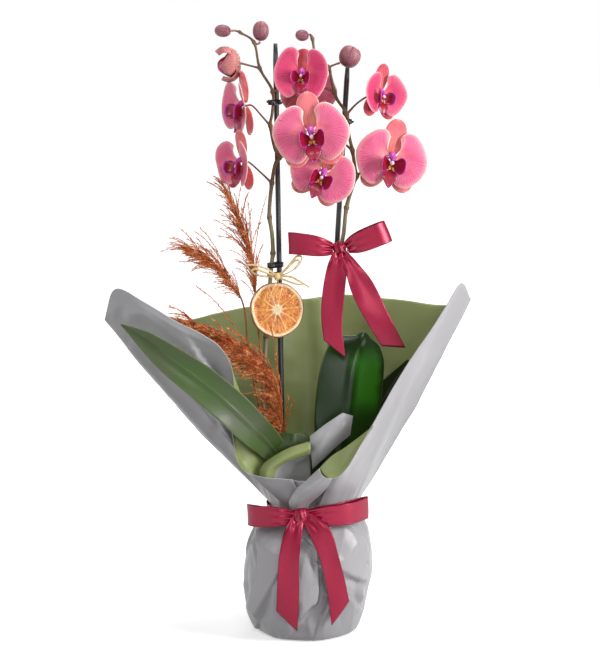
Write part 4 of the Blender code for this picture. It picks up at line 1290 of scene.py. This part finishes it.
def twig_lines(straw, first, last, count, reach, droop, seed):
    """The side twigs of a plume: they leave the straw, lean with it and hang over at the tip."""
    line = through(route(*straw), 12)
    lean = Vector(droop).normalized()
    twigs = []
    for number in range(count):
        share = first + (last - first) * ((number + 0.5) / count)
        spot = share * (len(line) - 1)
        i = min(int(spot), len(line) - 2)
        root = line[i].lerp(line[i + 1], spot - i)
        along = (line[i + 1] - line[i]).normalized()
        wild = Vector([noise.noise(Vector((number * 1.7, seed, axis * 5.1))) for axis in range(3)])
        wild.y *= 0.35
        body = sin(pi * min(1, 0.12 + 0.9 * (share - first) / (last - first))) ** 0.6
        spray = 1 + 1.3 * max(0, sin(2 * pi * SPRAYS * share)) ** 7
        long = reach * spray * MM * (0.35 + 0.65 * body) * (0.70 + 0.6 * abs(wild.x + wild.y))
        out = (along * 0.75 + lean * 0.40 + wild * 0.95).normalized()
        points = [root]
        for step in range(TWIG_STEPS):
            sink = Vector((0, 0, -0.085 * step))
            out = (out + lean * 0.10 + sink + wild * 0.10).normalized()
            points.append(points[-1] + out * long / TWIG_STEPS)
        twigs.append(points)
    return line, twigs


husk = bpy.data.objects.new("husk", husk_mesh())
plume_tree, plume_sizes = plume_nodes(husk)
for seed, (name, (straw, first, last, count, reach, droop)) in enumerate(PLUMES.items()):
    line, twigs = twig_lines(straw, first, last, count, reach, droop, seed + 3)
    curves = bpy.data.curves.new(name + "_twigs", 'CURVE')
    curves.dimensions = '3D'
    for points in twigs:
        spline = curves.splines.new('POLY')
        spline.points.add(len(points) - 1)
        for spot, point in zip(spline.points, points):
            spot.co = (*point, 1)
    guide = bpy.data.objects.new(name + "_twigs", curves)
    bpy.context.scene.collection.objects.link(guide)
    growth = guide.modifiers.new("plume", 'NODES')
    growth.node_group = plume_tree
    growth[plume_sizes["Husk Size"]] = 1.0 if name == "grass_main" else 0.85
    guide_seen = guide.evaluated_get(bpy.context.evaluated_depsgraph_get())
    plume_mesh = bpy.data.meshes.new_from_object(guide_seen)
    bpy.data.objects.remove(guide)
    plume = bpy.data.objects.new(name.replace("grass", "plume"), plume_mesh)
    bpy.context.scene.collection.objects.link(plume)
    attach(plume, "root")
    stalk = Shape()
    stalk.tube(line, STRAW_RADII, 0, 8)
    stalk.made(name.replace("grass", "straw"), [twig_skin], "grass_rust", [name])
bpy.data.objects.remove(husk)


# ---------------------------------------------------------------------------------------------
# The orange slice. A round slice dried hard hangs on the left stake: brown rind, a pale ring of
# pith, and ten amber segments of shrunken juice cells between thin pale walls.

SLICE_SPOT = Vector((-33.5, -17, 380)) * MM
SLICE_FACING = Vector((0.24, -0.95, 0.16)).normalized()
SLICE_HALF, SLICE_AROUND = 3.0, 240
HEART_EDGE, PITH_EDGE, RIND_EDGE = 7.0, 26.8, 29.8
SEGMENT_WALLS = [4, 38, 77, 111, 146, 181, 219, 252, 290, 326]
FACE_RADII = [0.6, 1.6, 2.8, 4.0, 5.5, 7, 9, 11, 13, 15, 17, 19, 21, 23, 25, 26.6, 27.6, 28.6, 29.6]
RIM = [(30.6, 0.9), (31.3, 0.72), (31.5, 0.3), (31.5, -0.3), (31.3, -0.72), (30.6, -0.9)]

flesh = Finish("orange_dried_flesh", Roughness=0.30, Coat_Weight=0.3, Coat_Roughness=0.2,
               Subsurface_Weight=0.25, Subsurface_Scale=0.003)
wall_mark, pith_mark, rind_mark = [
    flesh.node("ShaderNodeAttribute", {"attribute_name": label}, out=2)
    for label in ("wall", "pith", "rind")]
turned, ray = flesh.across_and_along()
cell_map = flesh.node("ShaderNodeCombineXYZ", sockets={0: turned * 15, 1: ray * 9, 2: 0.0})
cells = flesh.node("ShaderNodeTexVoronoi", {"feature": 'DISTANCE_TO_EDGE'},
                   {"Vector": cell_map, "Scale": 1.6})
pulp = flesh.grain(120, 3)
amber = flesh.ramp(pulp, (0.30, tint(142, 64, 6)), (0.44, tint(192, 98, 12)),
                   (0.62, tint(212, 128, 26)), (0.78, tint(230, 170, 78)))
amber = ((1 - cells.step(0.0, 0.12)) * 0.6).mix(amber, tint(236, 170, 74))
amber = (wall_mark * 0.75).mix(amber, tint(232, 184, 112))
amber = pith_mark.mix(amber, tint(238, 214, 172))
rind_tone = flesh.grain(240, 3).mix(tint(132, 72, 30), tint(176, 108, 52))
flesh.surface(Base_Color=rind_mark.mix(amber, rind_tone))
flesh.relief(cells.step(0.0, 0.3) * 0.7 + pulp * 0.5, 0.0011, 0.6)


def rise(value, start, reach):
    """A straight rise from 0 at the start to 1 when it has gone so far."""
    return min(1, max(0, (value - start) / reach))


def slice_ring(radius, height):
    """A ring round the slice, which is a little uneven."""
    side = Vector((0, 0, 1)).cross(SLICE_FACING).normalized()
    up = SLICE_FACING.cross(side)
    ring = []
    for a in turns_of(SLICE_AROUND):
        uneven = 1 + 0.012 * sin(3 * a + 0.4) + 0.008 * sin(7 * a)
        ring.append(SLICE_SPOT + MM * (radius * uneven * (cos(a) * side + sin(a) * up)
                                       + height * SLICE_FACING))
    return ring


def wall_share(k, radius):
    """1 on a wall between two segments, falling to 0 about a millimetre to each side."""
    turn = 360 * k / SLICE_AROUND
    away = min(abs((turn - wall + 180) % 360 - 180) for wall in SEGMENT_WALLS)
    return max(0.0, 1 - radians(away) * radius / 1.1)


# Each ring sinks where there is only pulp, and marks where the walls, the pith and the rind are.
orange = Shape()
rings = []
marks = {"wall": [], "pith": [], "rind": []}
for radius, side in [(r, 1) for r in FACE_RADII] + RIM + [(r, -1) for r in FACE_RADII[::-1]]:
    ring = slice_ring(radius, SLICE_HALF * side)
    for k, point in enumerate(ring):
        wall = wall_share(k, radius)
        pith = rise(radius, PITH_EDGE, 1.2) + rise(-radius, -HEART_EDGE, 2.4)
        pith = min(1, pith + 0.9 * wall * max(0, (13 - radius) / 6))
        if abs(side) == 1:
            dip = (1 - max(wall, pith)) * (0.9 + 0.9 * noise.noise(point * 260))
            ring[k] = point - SLICE_FACING * side * dip * MM * 0.9
        marks["wall"].append(wall)
        marks["pith"].append(pith)
        marks["rind"].append(rise(radius, RIND_EDGE, 0.7))
    rings.append(ring)
orange.barrel(rings)
slice_piece = orange.made("dried_orange_slice", [flesh], "orange_flesh", ["orange_slice"])
for label, values in marks.items():
    mark = slice_piece.data.attributes.new(label, 'FLOAT', 'POINT')
    mark.data.foreach_set("value", values)


# ---------------------------------------------------------------------------------------------
# The raffia. Split straws tie the slice to the stake and finish in a small flat bow.

raffia_skin = Finish("raffia_pale_straw", Roughness=0.6)
raffia_fibre = raffia_skin.stretched(raffia_skin.point(), (300, 300, 900))
raffia_grain = raffia_skin.grain(1.0, 3, raffia_fibre)
raffia_skin.surface(Base_Color=raffia_grain.step(0.3, 0.7).mix(tint(226, 200, 150),
                                                              tint(190, 156, 100)))
raffia_skin.relief(raffia_grain, 0.0003, 0.5)
RAFFIA_HEIGHT = 418
TIE, UNDER_TIE = (-33, -14, RAFFIA_HEIGHT), (-33, -14, RAFFIA_HEIGHT - 1)
RAFFIA_STRANDS = [
    # The strand from the stake, the two loops at each side, and the four loose ends.
    ((-38, -4.4, 418), (-35, -9, 418), TIE),
    (TIE, (-22, -17, 428), (-11, -18, 441), (-5, -17, 439), (-12, -15, 427), UNDER_TIE),
    (TIE, (-24, -16, 425), (-13, -18, 436), (-8, -17, 435), (-17, -15, 424), UNDER_TIE),
    (TIE, (-45, -19, 427), (-60, -23, 432), (-68, -22, 430), (-56, -19, 421), UNDER_TIE),
    (TIE, (-47, -18, 423), (-58, -21, 427), (-62, -20, 423), (-50, -17, 418), UNDER_TIE),
    (TIE, (-18, -18, 418), (-8, -19, 413), (4, -20, 406)),
    (UNDER_TIE, (-21, -18, 413), (-12, -19, 410), (-4, -21, 409)),
    (UNDER_TIE, (-35, -22, 411), (-41, -27, 396), (-45, -28, 381)),
    (UNDER_TIE, (-32, -21, 408), (-37, -27, 398), (-39, -28, 389)),
]
STRAND_RADII = [radius * MM for radius in (1.0, 1.25, 1.1, 0.8)]
WRAP_INNER, WRAP_OUTER = 3.6 * MM, 4.6 * MM
raffia = Shape()
raffia.egg(Vector((-33, -14, 417.5)) * MM, Vector((0.2, 0, 1)), 4.6 * MM, 3.8 * MM, 0, 12, 8)
for strand in RAFFIA_STRANDS:
    raffia.tube(through(route(*strand), 8), STRAND_RADII, 0, 8, 0.32, Vector((0.1, 0, 1)))
tied_stem = point_at_height(LEFT_SPIKE, RAFFIA_HEIGHT * MM)
tied_rod = point_at_height(STAKES["stake_left"], RAFFIA_HEIGHT * MM)
for lift in (-1.6, 0.0, 1.6):
    raffia.net(collar_rows(tied_stem, tied_rod, [
        (WRAP_INNER, (lift - 0.7) * MM), (WRAP_OUTER, (lift - 0.5) * MM),
        (WRAP_OUTER, (lift + 0.5) * MM), (WRAP_INNER, (lift + 0.7) * MM),
        (WRAP_INNER, (lift - 0.7) * MM)]), ring=True)
raffia.made("raffia_tie", [raffia_skin], "raffia_straw", ["raffia_bow"])


# ---------------------------------------------------------------------------------------------
# The ribbons. Double-faced satin ribbon, 25 mm wide with a woven edge, is tied in a bow round the
# neck of the wrapper and again high on the right spike; its tails are cut aslant.

RIBBON_WALL, RIBBON_HALF = 0.7 * MM, 12.5

satin = Finish("satin_burgundy", Metallic=0.35, Sheen_Weight=0.08, Sheen_Roughness=0.35,
               Sheen_Tint=tint(255, 110, 150), Specular_IOR_Level=0.5)
satin_across, _ = satin.across_and_along()
selvedge = satin_across.size().step(0.88, 0.93) * (1 - satin_across.size().step(0.97, 1.0))
weave = satin.grain(1.0, 2, satin.stretched(satin.point(), (700, 700, 2600)))
satin_tone = (weave.step(0.3, 0.7) * 0.35).mix(tint(152, 2, 52), tint(120, 0, 38))
satin.surface(Base_Color=(selvedge * 0.55).mix(satin_tone, tint(118, 6, 38)),
              Roughness=weave * 0.10 + 0.25)
satin.relief(selvedge * 0.6 + weave * 0.12, 0.0004, 0.5)


def sheet_ribbon(name, shape, node, length):
    """A length of ribbon, made with the ribbon's thickness; `length` is not used."""
    piece = shape.made(name, [satin], "ribbon_burgundy", [node], wall=RIBBON_WALL)


def ribbon_loop(node, points, lean, pinch):
    """A loop that leaves the knot and comes back to it, gathered where the knot grips it."""
    line = through(route(*points), 10)
    lean = Vector(lean).normalized()
    rows = []
    for i, centre in enumerate(line):
        share = abs(2 * i / (len(line) - 1) - 1)
        half = RIBBON_HALF * MM * (1 - (1 - pinch) * share ** 5)
        pleat, flow = 2.0 * MM * share ** 6, 0.5 * MM * (1 - share)
        out = heading(line, i).cross(lean).normalized()
        row = []
        for k in range(21):
            s = k / 10 - 1
            lift = pleat * sin(9 * s) + flow * sin(1.6 * s + 5 * i / len(line))
            row.append(centre + lean * half * s + out * lift)
        rows.append(row)
    loop = Shape()
    loop.net(rows)
    sheet_ribbon("satin_" + node, loop, node, line_length(line))


def ribbon_tail(node, left, right, flow):
    """A tail between its two edges, which hangs with a slow twist and is cut aslant."""
    one, two = through(route(*left), 12), through(route(*right), 12)
    rows = []
    for i, (a, b) in enumerate(zip(one, two)):
        share = i / (len(one) - 1)
        out = (b - a).cross(heading(one, i)).normalized()
        wave = flow * MM * sin(2.6 * pi * share + 0.6) * (1 - 0.45 * share)
        gather = 2.4 * MM * exp(-share / 0.13)
        row = []
        for k in range(17):
            s = k / 16
            row.append(a.lerp(b, s) - out * (wave * sin(pi * s) + gather * sin(9.5 * s)))
        rows.append(row)
    tail = Shape()
    tail.net(rows)
    length = (line_length(one) + line_length(two)) / 2
    width = sum((a - b).length for a, b in zip(one, two)) / len(one)
    sheet_ribbon("satin_" + node, tail, node, length)


def ribbon_knot(name, node, centre, half_wide, half_high, half_deep, tilt):
    """The knot: a short turn of ribbon that is pleated as it passes over the gathered bow."""
    spot = Vector(centre) * MM
    a = radians(tilt)
    wide, high = Vector((cos(a), 0, sin(a))), Vector((-sin(a), 0, cos(a)))
    front = Vector((0, -1, 0))
    rings = []
    for k in range(25):
        s = k / 12 - 1
        round_off = 1 - 0.55 * abs(s) ** 2.6
        ring = []
        for turn in turns_of(41):
            fold = 0.9 * sin(8 * s + 1.4 * sin(turn)) + 0.6 * sin(15 * s + turn)
            out = wide * half_wide * s * (1 + 0.08 * sin(turn))
            out += high * (half_high * round_off + fold * 0.7) * sin(turn)
            out += front * (half_deep * round_off + fold) * cos(turn)
            ring.append(spot + MM * out)
        rings.append(ring)
    knot = Shape()
    knot.barrel(rings)
    knot.made(name, [satin], "ribbon_burgundy", [node])


BAND_RADIUS, BAND_FOOT, BAND_WIDE = 54.6, 137.9, 14.5
band = Shape()
band_rows = []
for lift in [k / 10 for k in range(11)]:
    ring = []
    for a in turns_of(144):
        radius = BAND_RADIUS + 0.35 * sin(9 * a + 5 * lift) + 0.2 * sin(23 * a)
        point = Vector((radius * cos(a), radius * sin(a), BAND_FOOT + BAND_WIDE * lift))
        ring.append(NECK + point * MM)
    band_rows.append(ring)
band.net(band_rows, ring=True)
sheet_ribbon("satin_neck_band", band, "neck_ribbon_band", 2 * pi * BAND_RADIUS * MM)

UPRIGHT, LEANING = (0, 0, 1), (-0.35, 0, 0.94)
ribbon_knot("satin_neck_knot", "neck_ribbon_knot", (-6, -65.5, 150.5), 9.5, 10.0, 6.5, 8)
ribbon_loop("neck_ribbon_left_loop", (
    (-14.5, -68, 150), (-38, -67, 150), (-58, -56, 148), (-67, -43, 147), (-62, -38, 145),
    (-44, -50, 146), (-14.5, -62, 148)), UPRIGHT, 0.55)
ribbon_loop("neck_ribbon_right_loop", (
    (0.5, -68, 150), (24, -69, 151), (50, -60, 152), (70, -36, 153), (67, -31, 153), (52, -44, 152),
    (30, -58, 151), (0.5, -62, 150)), UPRIGHT, 0.55)
ribbon_tail("neck_ribbon_left_tail",
            ((-17, -66, 151), (-25, -74, 133), (-31, -79, 104), (-33, -79, 70), (-34, -74, 42)),
            ((-2, -68, 148), (-5, -76, 128), (-8, -81, 100), (-8, -79, 60), (-10, -71, 17)),
            1.6)
ribbon_tail("neck_ribbon_right_tail",
            ((-6, -67, 147), (6, -77, 126), (17, -80, 99), (24, -78, 64), (29, -72, 24)),
            ((6, -68, 156), (27, -76, 138), (37, -78, 106), (44, -75, 78), (49, -69, 52)),
            2.2)

ribbon_knot("satin_spike_knot", "spike_bow_knot", (38, -12, 450), 7.5, 8.0, 6.5, 10)
ribbon_loop("spike_bow_left_loop", (
    (30.5, -16, 450), (10, -23, 454), (-10, -22, 456), (-20, -15, 456), (-11, -9, 455),
    (10, -9, 452), (30.5, -11, 449)), UPRIGHT, 0.5)
ribbon_loop("spike_bow_right_loop", (
    (46, -16, 451), (62, -23, 458), (82, -22, 466), (93, -14, 470), (84, -9, 467), (62, -9, 458),
    (46, -11, 451)), LEANING, 0.5)
ribbon_tail("spike_bow_left_tail",
            ((31, -15, 446), (24, -19, 430), (19, -23, 405), (17, -25, 375), (20, -26, 346)),
            ((42, -16, 445), (46, -20, 428), (44, -24, 402), (41, -26, 362), (45, -27, 326)),
            1.6)
ribbon_tail("spike_bow_right_tail",
            ((36, -16, 443), (44, -22, 425), (52, -28, 400), (66, -30, 372), (86, -30, 340)),
            ((46, -15, 447), (60, -20, 432), (76, -24, 412), (93, -28, 378), (113, -30, 338)),
            2.0)


# ---------------------------------------------------------------------------------------------
# The studio. The bouquet stands on a wide flat floor that shines white at a distance, and soft
# lamps light it from the right, the left, the front, above and behind; the right one is the key.

FLOOR_RADIUS, FLOOR_SIDES = 14.0, 96
backdrop = Finish("backdrop_white", Base_Color=tint(246, 246, 246), Roughness=0.95)
floor_x, floor_y, _ = backdrop.axes(backdrop.point())
far = (floor_x * floor_x + floor_y * floor_y) ** 0.5
backdrop.surface(Emission_Color=far.step(0.2, 2.2).mix(tint(176, 176, 176), tint(255, 255, 255)),
                 Emission_Strength=1.0)
floor_mesh = bpy.data.meshes.new("floor")
floor_edge = [(FLOOR_RADIUS * cos(a), FLOOR_RADIUS * sin(a), 0) for a in turns_of(FLOOR_SIDES)]
floor_mesh.from_pydata(floor_edge, [], [range(FLOOR_SIDES)])
floor_mesh.materials.append(backdrop.material)
floor = bpy.data.objects.new("floor", floor_mesh)
bpy.context.scene.collection.objects.link(floor)
floor.visible_diffuse = False


def soft_lamp(name, spot, target, size, power):
    """A square-cornered soft lamp at a spot, in metres, that is turned to a target."""
    lamp = bpy.data.lights.new(name, 'AREA')
    lamp.shape = 'RECTANGLE'
    lamp.size, lamp.size_y = size
    lamp.energy = power
    holder = bpy.data.objects.new(name, lamp)
    holder.location = spot
    holder.rotation_euler = (Vector(target) - Vector(spot)).to_track_quat('-Z', 'Y').to_euler()
    bpy.context.scene.collection.objects.link(holder)


MIDDLE = Vector((-0.007, 0.0, 0.354))
soft_lamp("lamp_left", (-1.5, -0.9, 1.25), MIDDLE, (0.5, 1.1), 11)
soft_lamp("lamp_right", (1.5, -0.8, 0.8), MIDDLE, (0.4, 1.2), 34)
soft_lamp("lamp_front", (0.3, -2.3, 1.3), MIDDLE, (0.7, 0.7), 12)
soft_lamp("lamp_top", (0.1, 0.1, 2.0), MIDDLE, (0.8, 0.8), 16)
soft_lamp("lamp_back", (0.4, 1.9, 1.1), MIDDLE, (1.0, 1.0), 12)

# The sky is bright near the horizon and dim above and below, so that glossy edges catch a light.
sky = bpy.data.worlds.new("studio_sky")
sky.use_nodes = True
nodes, link = sky.node_tree.nodes, sky.node_tree.links.new
glow = nodes["Background"]
way = nodes.new("ShaderNodeTexCoord")
split = nodes.new("ShaderNodeSeparateXYZ")
level = nodes.new("ShaderNodeMath")
level.operation = 'ABSOLUTE'
dim = nodes.new("ShaderNodeMapRange")
dim.interpolation_type = 'SMOOTHSTEP'
for socket, value in (("From Min", 0.07), ("From Max", 0.15), ("To Min", 1.0), ("To Max", 0.20)):
    dim.inputs[socket].default_value = value
link(way.outputs["Generated"], split.inputs["Vector"])
link(split.outputs["Z"], level.inputs[0])
link(level.outputs[0], dim.inputs["Value"])
link(dim.outputs["Result"], glow.inputs["Strength"])
glow.inputs["Color"].default_value = (1, 1, 1, 1)
bpy.context.scene.world = sky
bpy.context.scene.view_settings.view_transform = 'Standard'

CAMERA_AWAY, CAMERA_RISE, CAMERA_LENS = 2.5, radians(8.5), 118.6
eye = bpy.data.cameras.new("camera")
eye.lens = CAMERA_LENS
camera = bpy.data.objects.new("camera", eye)
camera.location = MIDDLE + CAMERA_AWAY * Vector((0, -cos(CAMERA_RISE), sin(CAMERA_RISE)))
camera.rotation_euler = (MIDDLE - camera.location).to_track_quat('-Z', 'Y').to_euler()
bpy.context.scene.collection.objects.link(camera)
bpy.context.scene.camera = camera
